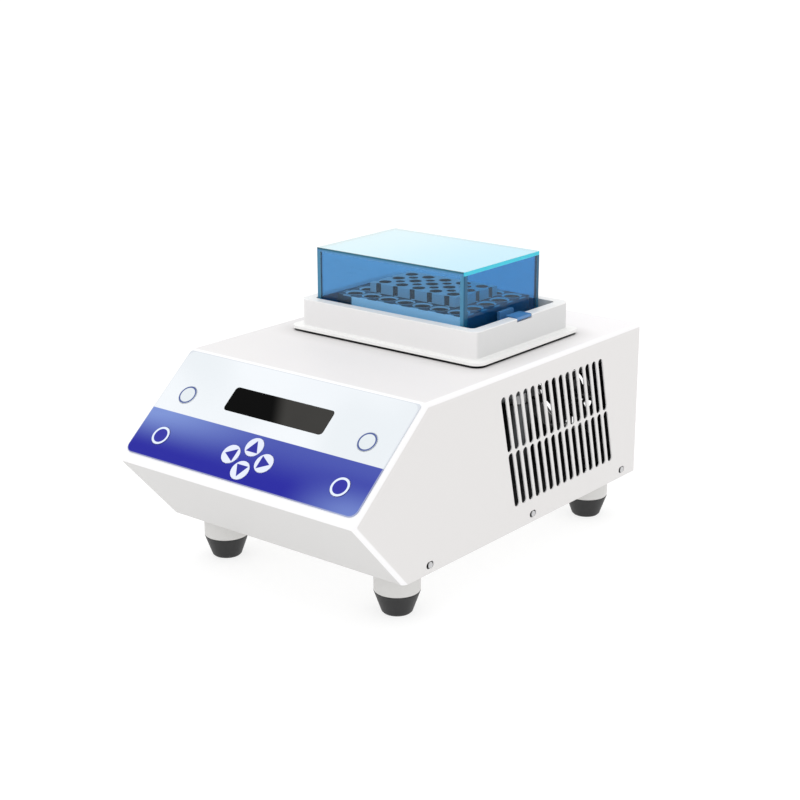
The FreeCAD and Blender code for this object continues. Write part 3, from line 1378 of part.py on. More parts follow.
def make_power_inlet():
    """Mains inlet with three pins, and a fuse drawer under its socket."""
    middle = "(ground_gap + inlet_height)"
    flange = box("inlet_flange_plate", about("inlet_x", "inlet_half_width + inlet_flange"),
                 (REAR_OUT_Y, f"{REAR_OUT_Y} + inlet_flange_thick"),
                 about(middle, "inlet_half_height + inlet_flange"))
    case = box("inlet_case", about("inlet_x", "inlet_half_width"),
               (f"{REAR_OUT_Y} - inlet_depth", REAR_OUT_Y), about(middle, "inlet_half_height"))
    face = f"({REAR_OUT_Y} + inlet_flange_thick)"
    socket_z = f"({middle} + socket_rise)"
    socket = box("inlet_socket", about("inlet_x", "socket_half_width"),
                 (f"{face} - socket_depth", f"{face} + cut_over"),
                 about(socket_z, "socket_half_height"))
    drawer_z = f"({middle} - drawer_drop)"
    bay = box("drawer_bay", about("inlet_x", "drawer_half_width + drawer_gap"),
              (f"{face} - drawer_depth - drawer_gap", f"{face} + cut_over"),
              about(drawer_z, "drawer_half_height + drawer_gap"))
    moulding = cut("inlet_moulding", group("inlet_solid", [flange, case]), [socket, bay])
    pins = []
    for index, (x, z) in enumerate((("inlet_x - pin_pitch", f"{socket_z} - pin_step"),
                                    ("inlet_x", f"{socket_z} + pin_step"),
                                    ("inlet_x + pin_pitch", f"{socket_z} - pin_step"))):
        pins.append(box(f"inlet_pin_{index}", about(x, "pin_thick / 2"),
                        (f"{face} - socket_depth", f"{face} - socket_depth + pin_length"),
                        about(z, "pin_width / 2")))
    keep("power_inlet", group("power_inlet", [moulding] + pins, "Part::Compound"))
    tray = box("drawer_tray", about("inlet_x", "drawer_half_width"), (f"{face} - drawer_depth", face),
               about(drawer_z, "drawer_half_height"))
    nest_y = f"({face} - drawer_depth / 2)"
    nest = box("drawer_nest", about("inlet_x", "fuse_length / 2 + drawer_gap"),
               about(nest_y, "fuse_radius + drawer_gap"),
               (f"{drawer_z} - fuse_radius", f"{drawer_z} + drawer_half_height + cut_over"))
    keep("fuse_drawer", cut("fuse_drawer_cut", tray, [nest]))
    keep("fuse", cylinder("fuse", "inlet_x - fuse_length / 2", nest_y, drawer_z, "fuse_radius",
                          "fuse_length", X_AXIS))


def make_power_switch():
    """Frame that snaps into the rear panel, and a rocker that tips on two stubs."""
    middle = "(ground_gap + switch_height_up)"
    flange = box("switch_flange", about("switch_x", "switch_half_width + switch_rim"),
                 (REAR_OUT_Y, f"{REAR_OUT_Y} + switch_rim_thick"),
                 about(middle, "switch_half_height + switch_rim"))
    case = box("switch_case", about("switch_x", "switch_half_width"),
               (f"{REAR_OUT_Y} - switch_depth", REAR_OUT_Y), about(middle, "switch_half_height"))
    bay = box("switch_bay", about("switch_x", "rocker_half_width + rocker_gap"),
              (f"{REAR_OUT_Y} - switch_bay_depth", f"{REAR_OUT_Y} + switch_rim_thick + cut_over"),
              about(middle, "rocker_reach + rocker_gap"))
    pivot_y = f"({REAR_OUT_Y} - rocker_pivot_depth)"
    stub_half = "rocker_half_width + rocker_gap + rocker_stub"
    seat = cylinder("switch_pivot_seat", f"switch_x - ({stub_half}) - rocker_gap", pivot_y, middle,
                    "rocker_stub_radius + running_gap", f"2 * ({stub_half} + rocker_gap)", X_AXIS)
    keep("switch_frame", cut("switch_frame_cut", group("switch_solid", [flange, case]), [bay, seat]))
    rocker = new_body("power_rocker")
    profile = new_sketch(rocker, "YZ_Plane", "rocker_profile")
    polygon(profile, [
        ("rocker_dip", "0"),
        ("rocker_dip + rocker_swell", "rocker_crest"),
        ("rocker_dip", "rocker_reach"),
        ("-rocker_root", "rocker_root_reach"),
        ("-rocker_root", "-rocker_root_reach"),
        ("rocker_dip", "-rocker_reach"),
        ("rocker_dip + rocker_swell", "-rocker_crest"),
    ])
    pad(rocker, profile, "rocker_half_width * 2", "rocker_pad", midplane=True)
    stub = new_sketch(rocker, "YZ_Plane", "rocker_stub_outline")
    circle(stub, "0", "0", "rocker_stub_radius")
    pad(rocker, stub, f"2 * ({stub_half})", "rocker_stubs", midplane=True)
    rocker.Placement = FreeCAD.Placement(FreeCAD.Vector(), FreeCAD.Rotation(-X_AXIS, 10))
    bind(rocker, "Placement.Rotation.Angle", "rocker_tilt")
    keep("power_rocker", move(rocker, "switch_x", pivot_y, middle))


def make_electronics():
    """Control board with its large components, and a boxed power supply, both over the base."""
    deck = f"({FLOOR_TOP} + standoff_height)"
    top = f"({deck} + board_thick)"
    pieces = [box("main_board_sheet", about("main_board_x", "main_board_width / 2"),
                  about("main_board_y", "main_board_depth / 2"), (deck, top))]
    for name in ("transformer", "relay", "heat_sink", "connector"):
        pieces.append(box(f"board_{name}", about(f"main_board_x + {name}_x", f"{name}_width / 2"),
                          about(f"main_board_y + {name}_y", f"{name}_depth / 2"),
                          (top, f"{top} + {name}_height")))
    pieces.append(cylinder("board_capacitor", "main_board_x + capacitor_x", "main_board_y + capacitor_y",
                           top, "capacitor_radius", "capacitor_height"))
    keep("main_board", group("main_board_solid", pieces))

    case = box("supply_case", about(SUPPLY_X, "supply_width / 2"), (SUPPLY_FRONT, SUPPLY_REAR),
               (FLOOR_TOP, f"{FLOOR_TOP} + supply_height"))
    room = box("supply_room", about(SUPPLY_X, "supply_width / 2 - supply_wall"),
               (f"{SUPPLY_FRONT} - cut_over", f"{SUPPLY_REAR} - supply_wall"),
               (f"{FLOOR_TOP} + supply_wall", f"{FLOOR_TOP} + supply_height - supply_wall"))
    keep("power_supply", cut("power_supply_cut", case, [room]))


def finish():
    """Checks every object and writes one file for each node."""
    doc.recompute()
    for thing in doc.Objects:
        if "Invalid" in thing.State or "Error" in thing.State:
            raise RuntimeError(f"{thing.Name} failed: {thing.State}")
    os.makedirs("parts", exist_ok=True)
    for name, thing in nodes.items():
        shape = thing.Shape
        if shape.isNull() or not shape.isValid() or not shape.Solids:
            raise RuntimeError(f"{name} has no valid solid")
        shape.exportStep(f"parts/{name}.step")


make_housing_cover()
make_base()
make_side_screws()
make_feet()
make_base_screws()
make_panel()
make_keys()
make_key_board()
make_board_posts()
make_platform_frame()
make_deck()
make_block()
make_heater()
make_platform_plate()
make_plate_screws()
make_lid()
make_lid_tab()
make_idlers()
make_drive()
make_rear_panel()
make_fan()
make_fan_rotor()
make_fan_guard()
make_power_inlet()
make_power_switch()
make_electronics()
finish()
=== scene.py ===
"""A bench dry bath with an orbiting tray: camera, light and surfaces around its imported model.

Metres, +Z up, in the part's own frame. The control panel faces -Y.
"""
import math

import bpy
from mathutils import Matrix, Vector


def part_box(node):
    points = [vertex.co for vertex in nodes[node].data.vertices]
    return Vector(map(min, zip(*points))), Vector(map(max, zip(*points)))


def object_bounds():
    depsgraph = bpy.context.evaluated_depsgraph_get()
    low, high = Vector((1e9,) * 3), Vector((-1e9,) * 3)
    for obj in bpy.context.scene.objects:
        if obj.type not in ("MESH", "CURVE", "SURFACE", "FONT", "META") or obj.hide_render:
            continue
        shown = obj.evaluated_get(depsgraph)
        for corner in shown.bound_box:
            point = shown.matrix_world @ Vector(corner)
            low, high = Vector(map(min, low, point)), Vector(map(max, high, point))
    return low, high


MM = 0.001
PHOTO_PIXELS = 800
X = Vector((1, 0, 0))
Y = Vector((0, 1, 0))
Z = Vector((0, 0, 1))

# Camera, fitted to the housing's edges in the photograph
FOCAL_PIXELS = 1629.6
SENSOR_WIDTH = 36
CAMERA_PLACE = Vector((0.6453, -0.7871, 0.4167))
CAMERA_YAW, CAMERA_PITCH, CAMERA_ROLL = (math.radians(angle) for angle in (38.957, 17.271, -0.097))

# Stage
FLOOR_HALF = 12.0
FLOOR_GLOW = 0.75
WORLD_STRENGTH = 1.02
SUN_PLACE = Vector((-0.6, -0.5, 2.2))
SUN_STRENGTH = 0.45
SUN_ANGLE = math.radians(60)

# Housing
HALF_WIDTH = 96.9 * MM
HOUSING_TOP = 137.1 * MM
NOSE = Vector((0, -150.8 * MM, 80.4 * MM))
BREAK = Vector((0, -83.9 * MM, 137.1 * MM))
UNDERCUT = Vector((0, -105.3 * MM, 30.8 * MM))
SHEET = 1.0 * MM
BEND_RADIUS = 3.4 * MM

# Control panel, measured up the slope from the nose line
PANEL_HALF_WIDTH = 94.2 * MM
PANEL_LOW = 6.3 * MM
PANEL_HIGH = 86.0 * MM
PANEL_CORNER = 5.6 * MM
PRINT_EDGE = 40.4 * MM
PRINT_BLUR = 0.15 * MM
KEY_RADIUS = 6.5 * MM
KEY_MARGIN = 0.1 * MM
KEY_BLUR = 0.12 * MM
RING_KEYS = {
    "key_lower_left": (-73.6 * MM, 22.4 * MM),
    "key_lower_right": (73.6 * MM, 22.4 * MM),
    "key_upper_left": (-73.6 * MM, 54.2 * MM),
    "key_upper_right": (73.6 * MM, 54.2 * MM),
}
LOWER_RING_WIDTH = 1.5 * MM
UPPER_RING_WIDTH = 1.1 * MM
ARROW_MIDDLE = 23.4 * MM
ARROW_UP = 8.45 * MM
ARROW_SIDE = 13.6 * MM
ARROW_KEYS = {
    "key_up": ((0, ARROW_MIDDLE + ARROW_UP), (0, 1)),
    "key_down": ((0, ARROW_MIDDLE - ARROW_UP), (0, -1)),
    "key_left": ((-ARROW_SIDE, ARROW_MIDDLE), (-1, 0)),
    "key_right": ((ARROW_SIDE, ARROW_MIDDLE), (1, 0)),
}
ARROW_TIP = 4.6 * MM
ARROW_BACK = -3.6 * MM
ARROW_HALF_BASE = 4.6 * MM

# Heating block
WELL_PITCH = 14.2 * MM
FIRST_WELL = Vector((-42.6 * MM, 17.6 * MM, 0))
OUTER_WELL_RADIUS = 5.4 * MM
INNER_WELL_RADIUS = 4.0 * MM
RIM_WIDTH = 1.3 * MM
BLOCK_DECK = 162.9 * MM
BLOCK_TOP = 169.8 * MM
BLOCK_MIDDLE_Y = 46.0 * MM
BLOCK_LEFT = -51.1 * MM
ISLAND_HALF = (35.5 * MM, 21.3 * MM)

# Tray and lid
FLANGE_TOP = 140.5 * MM
FLANGE_CORNER = 7.2 * MM
COLLAR_TOP = 158.7 * MM
COLLAR_RIGHT = 72.9 * MM
LID_WALL = 2.5 * MM
LID_COLUMN = 3.3 * MM
LID_BLUR = 0.15 * MM

# Mains socket
SOCKET_MIDDLE = (-52.0 * MM, 64.8 * MM)
SOCKET_DEPTH = 16.0 * MM
PIN_PITCH = 7.0 * MM
PIN_STEP = 2.0 * MM
PIN_HALF = (1.0 * MM, 2.0 * MM)

# Finishes that several pieces share
COAT_ROUGHNESS = 0.5
COAT_SPECULAR = 0.3
PRINT_ROUGHNESS = 0.35
PRINT_SPECULAR = 0.15
ON_FACE = (0.9 * MM, 0.3 * MM)
CORNERS = ("front_left", "front_right", "rear_left", "rear_right")

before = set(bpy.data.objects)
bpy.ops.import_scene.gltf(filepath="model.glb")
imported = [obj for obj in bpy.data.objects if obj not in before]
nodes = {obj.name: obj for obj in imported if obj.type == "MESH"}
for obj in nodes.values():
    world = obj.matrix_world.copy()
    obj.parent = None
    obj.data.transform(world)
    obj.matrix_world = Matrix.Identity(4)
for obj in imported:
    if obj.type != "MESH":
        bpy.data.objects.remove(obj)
cad_low, cad_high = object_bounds()


def srgb(red, green, blue):
    """A colour given in the photograph's 0 to 255 steps."""
    def linear(value):
        value /= 255
        return value / 12.92 if value <= 0.04045 else ((value + 0.055) / 1.055) ** 2.4
    return linear(red), linear(green), linear(blue), 1.0


def darker(color, share):
    return tuple(part * (1 - share) for part in color[:3]) + (1.0,)


class Surface:
    """A procedural material that reads the part's own coordinates."""

    def __init__(self, name, color, roughness=0.5, **inputs):
        self.material = bpy.data.materials.new(name)
        self.material.use_nodes = True
        self.tree = self.material.node_tree
        self.shader = self.tree.nodes["Principled BSDF"]
        self.place = self.node("ShaderNodeTexCoord").outputs["Object"]
        self.set("Base Color", color)
        self.set("Roughness", roughness)
        for socket, value in inputs.items():
            self.set(socket.replace("_", " "), value)

    def set(self, socket, value):
        self.feed(self.shader.inputs[socket], value)

    def feed(self, socket, value):
        if isinstance(value, bpy.types.NodeSocket):
            self.tree.links.new(value, socket)
        else:
            socket.default_value = value

    def node(self, kind, **settings):
        made = self.tree.nodes.new(kind)
        for name, value in settings.items():
            setattr(made, name, value)
        return made

    def math(self, operation, *values, clamp=False):
        made = self.node("ShaderNodeMath", operation=operation, use_clamp=clamp)
        for socket, value in zip(made.inputs, values):
            self.feed(socket, value)
        return made.outputs[0]

    def plus(self, first, second, clamp=False):
        return self.math("ADD", first, second, clamp=clamp)

    def minus(self, first, second):
        return self.math("SUBTRACT", first, second)

    def times(self, first, second):
        return self.math("MULTIPLY", first, second)

    def away(self, value, middle=None):
        """How far a value is from the middle, or from 0, either way."""
        return self.math("ABSOLUTE", value if middle is None else self.minus(value, middle))

    def fold(self, operation, values):
        result = values[0]
        for value in values[1:]:
            result = self.math(operation, result, value)
        return result

    def both(self, *masks):
        return self.fold("MULTIPLY", masks)

    def either(self, *masks):
        return self.fold("MAXIMUM", masks)

    def least(self, *values):
        return self.fold("MINIMUM", values)

    def off(self, mask):
        return self.minus(1.0, mask)

    def vector(self, operation, *values, output="Vector"):
        made = self.node("ShaderNodeVectorMath", operation=operation)
        for socket, value in zip(made.inputs, values):
            self.feed(socket, value)
        return made.outputs[output]

    def along(self, direction):
        """The place's distance along a direction, from the frame's origin."""
        return self.vector("DOT_PRODUCT", self.place, tuple(direction), output="Value")

    def step(self, value, low, high):
        """0 at low and 1 at high, whichever is the larger, with a smooth change between."""
        made = self.node("ShaderNodeMapRange", interpolation_type="SMOOTHSTEP")
        for socket, entry in zip(("Value", "From Min", "From Max"), (value, low, high)):
            self.feed(made.inputs[socket], entry)
        return made.outputs["Result"]

    def above(self, value, limit, blur):
        """1 where the value is over the limit and 0 under it, blurred that far on both sides."""
        return self.step(value, limit - blur, limit + blur)

    def below(self, value, limit, blur):
        return self.step(value, limit + blur, limit - blur)

    def mix(self, factor, first, second):
        made = self.node("ShaderNodeMix", data_type="RGBA")
        self.feed(made.inputs["Factor"], factor)
        self.feed(made.inputs[6], first)
        self.feed(made.inputs[7], second)
        return made.outputs[2]

    def blend(self, factor, first, second):
        """A number between two others."""
        made = self.node("ShaderNodeMix", data_type="FLOAT")
        self.feed(made.inputs["Factor"], factor)
        self.feed(made.inputs[2], first)
        self.feed(made.inputs[3], second)
        return made.outputs[0]

    def noise(self, size, detail=3.0, stretch=(1, 1, 1)):
        """Noise whose main features are about that large, in metres."""
        made = self.node("ShaderNodeTexNoise")
        self.feed(made.inputs["Vector"], self.vector("MULTIPLY", self.place, stretch))
        self.feed(made.inputs["Scale"], 1 / size)
        self.feed(made.inputs["Detail"], detail)
        return made.outputs["Fac"]

    def speckle(self, color, size, share):
        """Slightly uneven colour, so that no face is one flat tone."""
        return self.mix(self.noise(size), darker(color, share), color)

    def bump(self, height, distance, strength):
        made = self.node("ShaderNodeBump")
        self.feed(made.inputs["Height"], height)
        self.feed(made.inputs["Distance"], distance)
        self.feed(made.inputs["Strength"], strength)
        self.set("Normal", made.outputs["Normal"])

    def texture(self, size, depth, strength=0.4):
        """A fine raised grain of that size and depth."""
        self.bump(self.noise(size, 2.0), depth, strength)

    def across_slope(self):
        """Distances across and up the slope."""
        up = (BREAK - NOSE).normalized()
        return self.along(X), self.minus(self.along(up), NOSE.dot(up))

    def from_key(self, centre):
        """Distances from a key's middle, across and up the slope."""
        across, rise = self.across_slope()
        return self.minus(across, centre[0]), self.minus(rise, centre[1])

    def length(self, across, rise):
        return self.math("SQRT", self.plus(self.times(across, across), self.times(rise, rise)))

    def rounded_depth(self, radius, depths):
        """Distance inwards from a shape with rounded corners, from the depths behind its flats."""
        total = 0.0
        for depth in depths:
            lack = self.math("MAXIMUM", self.minus(radius, depth), 0.0)
            total = self.plus(total, self.times(lack, lack))
        return self.minus(radius, self.math("SQRT", total))

    def box_depths(self, low, high):
        """Depths behind the four upright sides of a box."""
        depths = []
        for axis in (X, Y):
            place = self.along(axis)
            depths.append(self.minus(place, low.dot(axis)))
            depths.append(self.minus(high.dot(axis), place))
        return depths


def dress(surface, *names):
    for name in names:
        slots = nodes[name].data.materials
        slots.clear()
        slots.append(surface.material)


def outward(low, high):
    """The outward normal of a face of the housing's front, from its lower and upper edges."""
    return Vector((0, -(high - low).z, (high - low).y)).normalized()


def housing_paint():
    """White powder coat, a little deeper on its undersides, with painted light and shade: darker sides and
    lower front, a lighter slope, bends and rear top, a painted shadow round and under the tray's flange, and
    near-black painted shade over the sheet's inner faces.
    """
    white = srgb(233, 231, 231)
    surface = Surface("housing_powder_coat", white, COAT_ROUGHNESS, Specular_IOR_Level=COAT_SPECULAR)
    slope_out = outward(NOSE, BREAK)
    front_out = outward(UNDERCUT, NOSE)
    height = surface.along(Z)
    side = surface.minus(HALF_WIDTH, surface.away(surface.along(X)))
    top = surface.minus(HOUSING_TOP, height)
    slope = surface.minus(NOSE.dot(slope_out), surface.along(slope_out))
    front = surface.minus(NOSE.dot(front_out), surface.along(front_out))
    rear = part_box("rear_panel")[1].y
    # The inner faces of the sheet get a near-black painted shade.
    painted_inside_shade = surface.both(
        surface.step(surface.rounded_depth(BEND_RADIUS, (side, top, slope, front)),
                     SHEET * 0.6, SHEET * 0.9),
        surface.step(surface.along(Y), rear + 0.1 * MM, rear - 0.2 * MM),
    )
    color = surface.speckle(white, 40 * MM, 0.015)
    # Painted shading by face: the sides a little darker, the slope lighter, the undercut front darker still.
    color = surface.mix(surface.step(side, *ON_FACE), color, srgb(225, 223, 222))
    color = surface.mix(surface.step(slope, *ON_FACE), color, srgb(246, 246, 247))
    color = surface.mix(surface.step(front, *ON_FACE), color, srgb(211, 210, 209))
    # Painted highlight along the bends.
    bend_highlight = surface.step(surface.least(side, top, slope, front), 0.03 * MM, 0.2 * MM)
    color = surface.mix(bend_highlight, color, srgb(246, 245, 246))
    # Painted light on the top face towards the rear.
    rear_top_light = surface.both(
        surface.step(height, HOUSING_TOP - 0.6 * MM, HOUSING_TOP - 0.1 * MM),
        surface.step(surface.along(Y), 20 * MM, 150 * MM),
    )
    color = surface.mix(rear_top_light, color, srgb(243, 241, 242))
    on_top = surface.step(top, *ON_FACE)
    # Painted soft shadow on the top round the tray's flange.
    flange = surface.rounded_depth(FLANGE_CORNER, surface.box_depths(*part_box("platform_frame")))
    shade = surface.both(on_top, surface.step(flange, -16 * MM, 0))
    color = surface.mix(surface.times(shade, 0.5), color, srgb(206, 204, 204))
    # Painted dark shadow on the top just under the flange's edge, for the gap below it.
    flange_gap_shadow = surface.both(on_top, surface.step(flange, 0.1 * MM, 1.3 * MM))
    color = surface.mix(flange_gap_shadow, color, srgb(24, 24, 25))
    surface.set("Base Color", surface.mix(painted_inside_shade, color, srgb(16, 16, 17)))
    surface.texture(0.55 * MM, 0.02 * MM, 0.35)
    return surface


def lined_coat(name, out):
    """Powder coat on the face of a sheet that looks outwards, and dark painted shade on its inner side."""
    white = srgb(225, 224, 222)
    surface = Surface(f"{name}_coat", white, COAT_ROUGHNESS, Specular_IOR_Level=COAT_SPECULAR)
    low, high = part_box(name)
    depth = surface.minus(max(low.dot(out), high.dot(out)), surface.along(out))
    light = surface.speckle(white, 30 * MM, 0.03)
    # dark: painted shade for the sheet's inner side.
    dark = surface.speckle(srgb(62, 62, 63), 12 * MM, 0.2)
    surface.set("Base Color", surface.mix(surface.step(depth, SHEET * 0.5, SHEET * 0.9), light, dark))
    surface.texture(0.6 * MM, 0.02 * MM)
    return surface


def printed(name, color):
    """Printed film with a faint grain."""
    surface = Surface(name, color, PRINT_ROUGHNESS, Specular_IOR_Level=PRINT_SPECULAR)
    surface.texture(0.9 * MM, 0.01 * MM, 0.3)
    return surface


def panel_print():
    """Membrane overlay: pale above, royal blue below, lighter towards the upper left and near the print
    edge, with a painted soft reflection at the lower right.
    """
    surface = printed("panel_print", srgb(236, 241, 247))
    across, rise = surface.across_slope()
    pale = surface.mix(surface.step(surface.noise(70 * MM, 1.0), 0.35, 0.7),
                       srgb(222, 227, 231), srgb(230, 234, 238))
    high = surface.step(rise, 12 * MM, PRINT_EDGE)
    upper_left = surface.both(surface.step(across, 20 * MM, -100 * MM), high)
    # Painted soft reflection over the lower right of the blue, added into the light mask with the lighter
    # upper left.
    lower_right_reflection = surface.both(surface.step(across, 35 * MM, 92 * MM),
                               surface.step(rise, 30 * MM, 8 * MM))
    light = surface.plus(surface.times(upper_left, 0.8), surface.times(lower_right_reflection, 0.75), clamp=True)
    light = surface.plus(light, surface.times(high, 0.28), clamp=True)
    blue = surface.mix(light, srgb(18, 20, 150), srgb(116, 138, 202))
    color = surface.mix(surface.below(rise, PRINT_EDGE, PRINT_BLUR), pale, blue)
    depth = surface.rounded_depth(PANEL_CORNER, (
        surface.minus(PANEL_HALF_WIDTH, surface.away(across)),
        surface.minus(rise, PANEL_LOW),
        surface.minus(PANEL_HIGH, rise),
    ))
    line = surface.times(surface.step(depth, 0.55 * MM, 0.35 * MM), 0.5)
    surface.set("Base Color", surface.mix(line, color, srgb(196, 201, 210)))
    return surface


def ring_key(name, centre):
    """A disc of the panel's own colour with a plain ring near its edge."""
    lower = centre[1] < PRINT_EDGE
    ground = srgb(40, 42, 158) if lower else srgb(222, 229, 233)
    ink = srgb(222, 232, 246) if lower else srgb(74, 90, 146)
    outer = KEY_RADIUS - KEY_MARGIN
    inner = outer - (LOWER_RING_WIDTH if lower else UPPER_RING_WIDTH)
    surface = printed(f"{name}_print", ground)
    distance = surface.length(*surface.from_key(centre))
    ring = surface.both(surface.above(distance, inner, KEY_BLUR),
                        surface.below(distance, outer, KEY_BLUR))
    surface.set("Base Color", surface.mix(ring, surface.speckle(ground, 9 * MM, 0.08), ink))
    return surface


def arrow_key(name, centre, direction):
    """A white disc with a blue triangle that points away from the middle of the four."""
    white = srgb(222, 228, 245)
    surface = printed(f"{name}_print", white)
    across, rise = surface.from_key(centre)
    right, up = float(direction[0]), float(direction[1])
    tip_way = surface.plus(surface.times(across, right), surface.times(rise, up))
    side_way = surface.minus(surface.times(across, up), surface.times(rise, right))
    slant = ARROW_HALF_BASE / (ARROW_TIP - ARROW_BACK)
    reach = surface.times(surface.minus(ARROW_TIP, tip_way), slant)
    triangle = surface.both(
        surface.above(surface.minus(reach, surface.away(side_way)), 0, PRINT_BLUR),
        surface.above(tip_way, ARROW_BACK, PRINT_BLUR),
    )
    surface.set("Base Color", surface.mix(triangle, surface.speckle(white, 9 * MM, 0.04), srgb(36, 38, 150)))
    return surface


def display_smoke():
    """Dark window: black over its left half, with a painted soft reflection in dark grey over the right."""
    middle = srgb(16, 16, 17)
    surface = Surface("display_smoke", middle, 0.3, Specular_IOR_Level=0.02)
    across, rise = surface.across_slope()
    # Painted soft reflection: dark grey over the right, black over the left.
    right = surface.step(surface.plus(across, surface.times(rise, 0.5)), 24 * MM, 38 * MM)
    tone = surface.mix(right, srgb(3, 3, 3), srgb(62, 61, 59))
    surface.set("Base Color", surface.mix(surface.times(surface.noise(25 * MM, 1.0), 0.2), tone, middle))
    return surface


def tray_plastic():
    """White plastic, with painted shade on the collar's walls, darker on the right side, and near-black
    painted shade on the part below the housing's top.
    """
    white = srgb(244, 244, 243)
    surface = Surface("tray_plastic", white, 0.34, Specular_IOR_Level=0.35)
    height = surface.along(Z)
    # Painted shade on the collar's walls, darker on the right side.
    wall = surface.both(
        surface.step(height, FLANGE_TOP + 0.3 * MM, FLANGE_TOP + 1.5 * MM),
        surface.step(height, COLLAR_TOP - 0.1 * MM, COLLAR_TOP - 1.0 * MM),
    )
    right = surface.step(surface.along(X), COLLAR_RIGHT - 1.5 * MM, COLLAR_RIGHT - 0.3 * MM)
    shade = surface.mix(right, srgb(231, 230, 230), srgb(214, 214, 214))
    color = surface.mix(wall, surface.speckle(white, 30 * MM, 0.015), shade)
    # Near-black painted shade below the housing's top.
    below = surface.step(height, HOUSING_TOP + 0.6 * MM, HOUSING_TOP - 0.2 * MM)
    surface.set("Base Color", surface.mix(below, color, srgb(22, 22, 23)))
    surface.texture(0.8 * MM, 0.02 * MM)
    return surface


def from_nearest_well(surface):
    """Distance from the axis of the nearest well of the grid."""
    half = WELL_PITCH / 2
    start = FIRST_WELL - Vector((half, half, 0))
    cell = surface.vector("WRAP", surface.vector("SUBTRACT", surface.place, tuple(start)),
                          (WELL_PITCH, WELL_PITCH, 10.0), (0, 0, -10.0))
    off_axis = surface.vector("SUBTRACT", cell, (half, half, 0.0))
    return surface.vector("LENGTH", surface.vector("MULTIPLY", off_axis, (1, 1, 0)), output="Value")


def block_metal():
    """Aluminium: slate on its deck, lighter on its sides and island, with a painted highlight round the well
    mouths, painted shade in the wells, the island's hollow and the left end, and a painted glow from its
    sides and top.
    """
    surface = Surface("block_aluminium", srgb(70, 80, 96), 0.35, Metallic=0.4)
    distance = from_nearest_well(surface)
    across, depth, height = (surface.along(axis) for axis in (X, Y, Z))
    front_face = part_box("heating_block")[0].y
    # Painted highlight round the well mouths.
    rim_highlight = surface.both(
        surface.step(distance, OUTER_WELL_RADIUS - 0.2 * MM, OUTER_WELL_RADIUS - 0.1 * MM),
        surface.step(distance, OUTER_WELL_RADIUS + RIM_WIDTH, OUTER_WELL_RADIUS + RIM_WIDTH - 0.2 * MM),
        surface.step(height, BLOCK_DECK - 0.8 * MM, BLOCK_DECK - 0.7 * MM),
        surface.step(height, BLOCK_DECK + 0.3 * MM, BLOCK_DECK + 0.2 * MM),
    )
    island = surface.step(height, BLOCK_DECK + 0.3 * MM, BLOCK_DECK + 0.5 * MM)
    within_island = surface.least(
        surface.minus(ISLAND_HALF[0], surface.away(across)),
        surface.minus(ISLAND_HALF[1], surface.away(depth, BLOCK_MIDDLE_Y)),
    )
    hollow = surface.both(
        surface.step(within_island, 0.05 * MM, 0.25 * MM),
        surface.step(height, BLOCK_TOP - 0.02 * MM, BLOCK_TOP - 0.2 * MM),
        island,
    )
    mouth = surface.both(surface.step(distance, INNER_WELL_RADIUS + 0.1 * MM, INNER_WELL_RADIUS), island)
    deep = surface.both(
        surface.step(distance, OUTER_WELL_RADIUS + 0.1 * MM, OUTER_WELL_RADIUS),
        surface.off(rim_highlight),
        surface.off(island),
    )
    # dark: painted shade in the island's hollow, the well mouths and the deep wells.
    dark = surface.either(hollow, mouth, deep)
    side = surface.step(height, BLOCK_DECK - 0.2 * MM, BLOCK_DECK - 0.5 * MM)
    front = surface.step(depth, front_face + 1.2 * MM, front_face + 0.8 * MM)
    # Painted shade over the left end and the left of the front face.
    left_end_shade = surface.both(surface.step(across, BLOCK_LEFT + 13 * MM, BLOCK_LEFT + 11.5 * MM), front)
    grain = surface.noise(0.4 * MM, 3.0, (1, 1, 0.04))
    slate = surface.mix(grain, srgb(70, 72, 78), srgb(86, 88, 94))
    side_metal = surface.mix(grain, srgb(206, 208, 210), srgb(218, 219, 220))
    island_metal = surface.mix(grain, srgb(200, 204, 208), srgb(214, 217, 220))
    color = surface.mix(side, slate, surface.mix(left_end_shade, side_metal, srgb(84, 88, 96)))
    color = surface.mix(island, color, island_metal)
    color = surface.mix(dark, color, srgb(40, 42, 48))
    color = surface.mix(rim_highlight, color, srgb(224, 228, 232))
    surface.set("Base Color", color)
    # Painted glow: the sides, front, island and well mouths emit their own colour, though the block is no
    # lamp.
    glow_mask = surface.either(surface.times(surface.either(island, rim_highlight), 0.3),
                         surface.both(side, front, surface.off(left_end_shade)))
    glow = surface.mix(surface.both(glow_mask, surface.off(dark)), (0.0, 0.0, 0.0, 1.0), color)
    surface.set("Emission Color", glow)
    surface.set("Emission Strength", 0.8)
    surface.set("Roughness", surface.blend(grain, 0.34, 0.46))
    surface.bump(grain, 0.01 * MM, 0.4)
    return surface


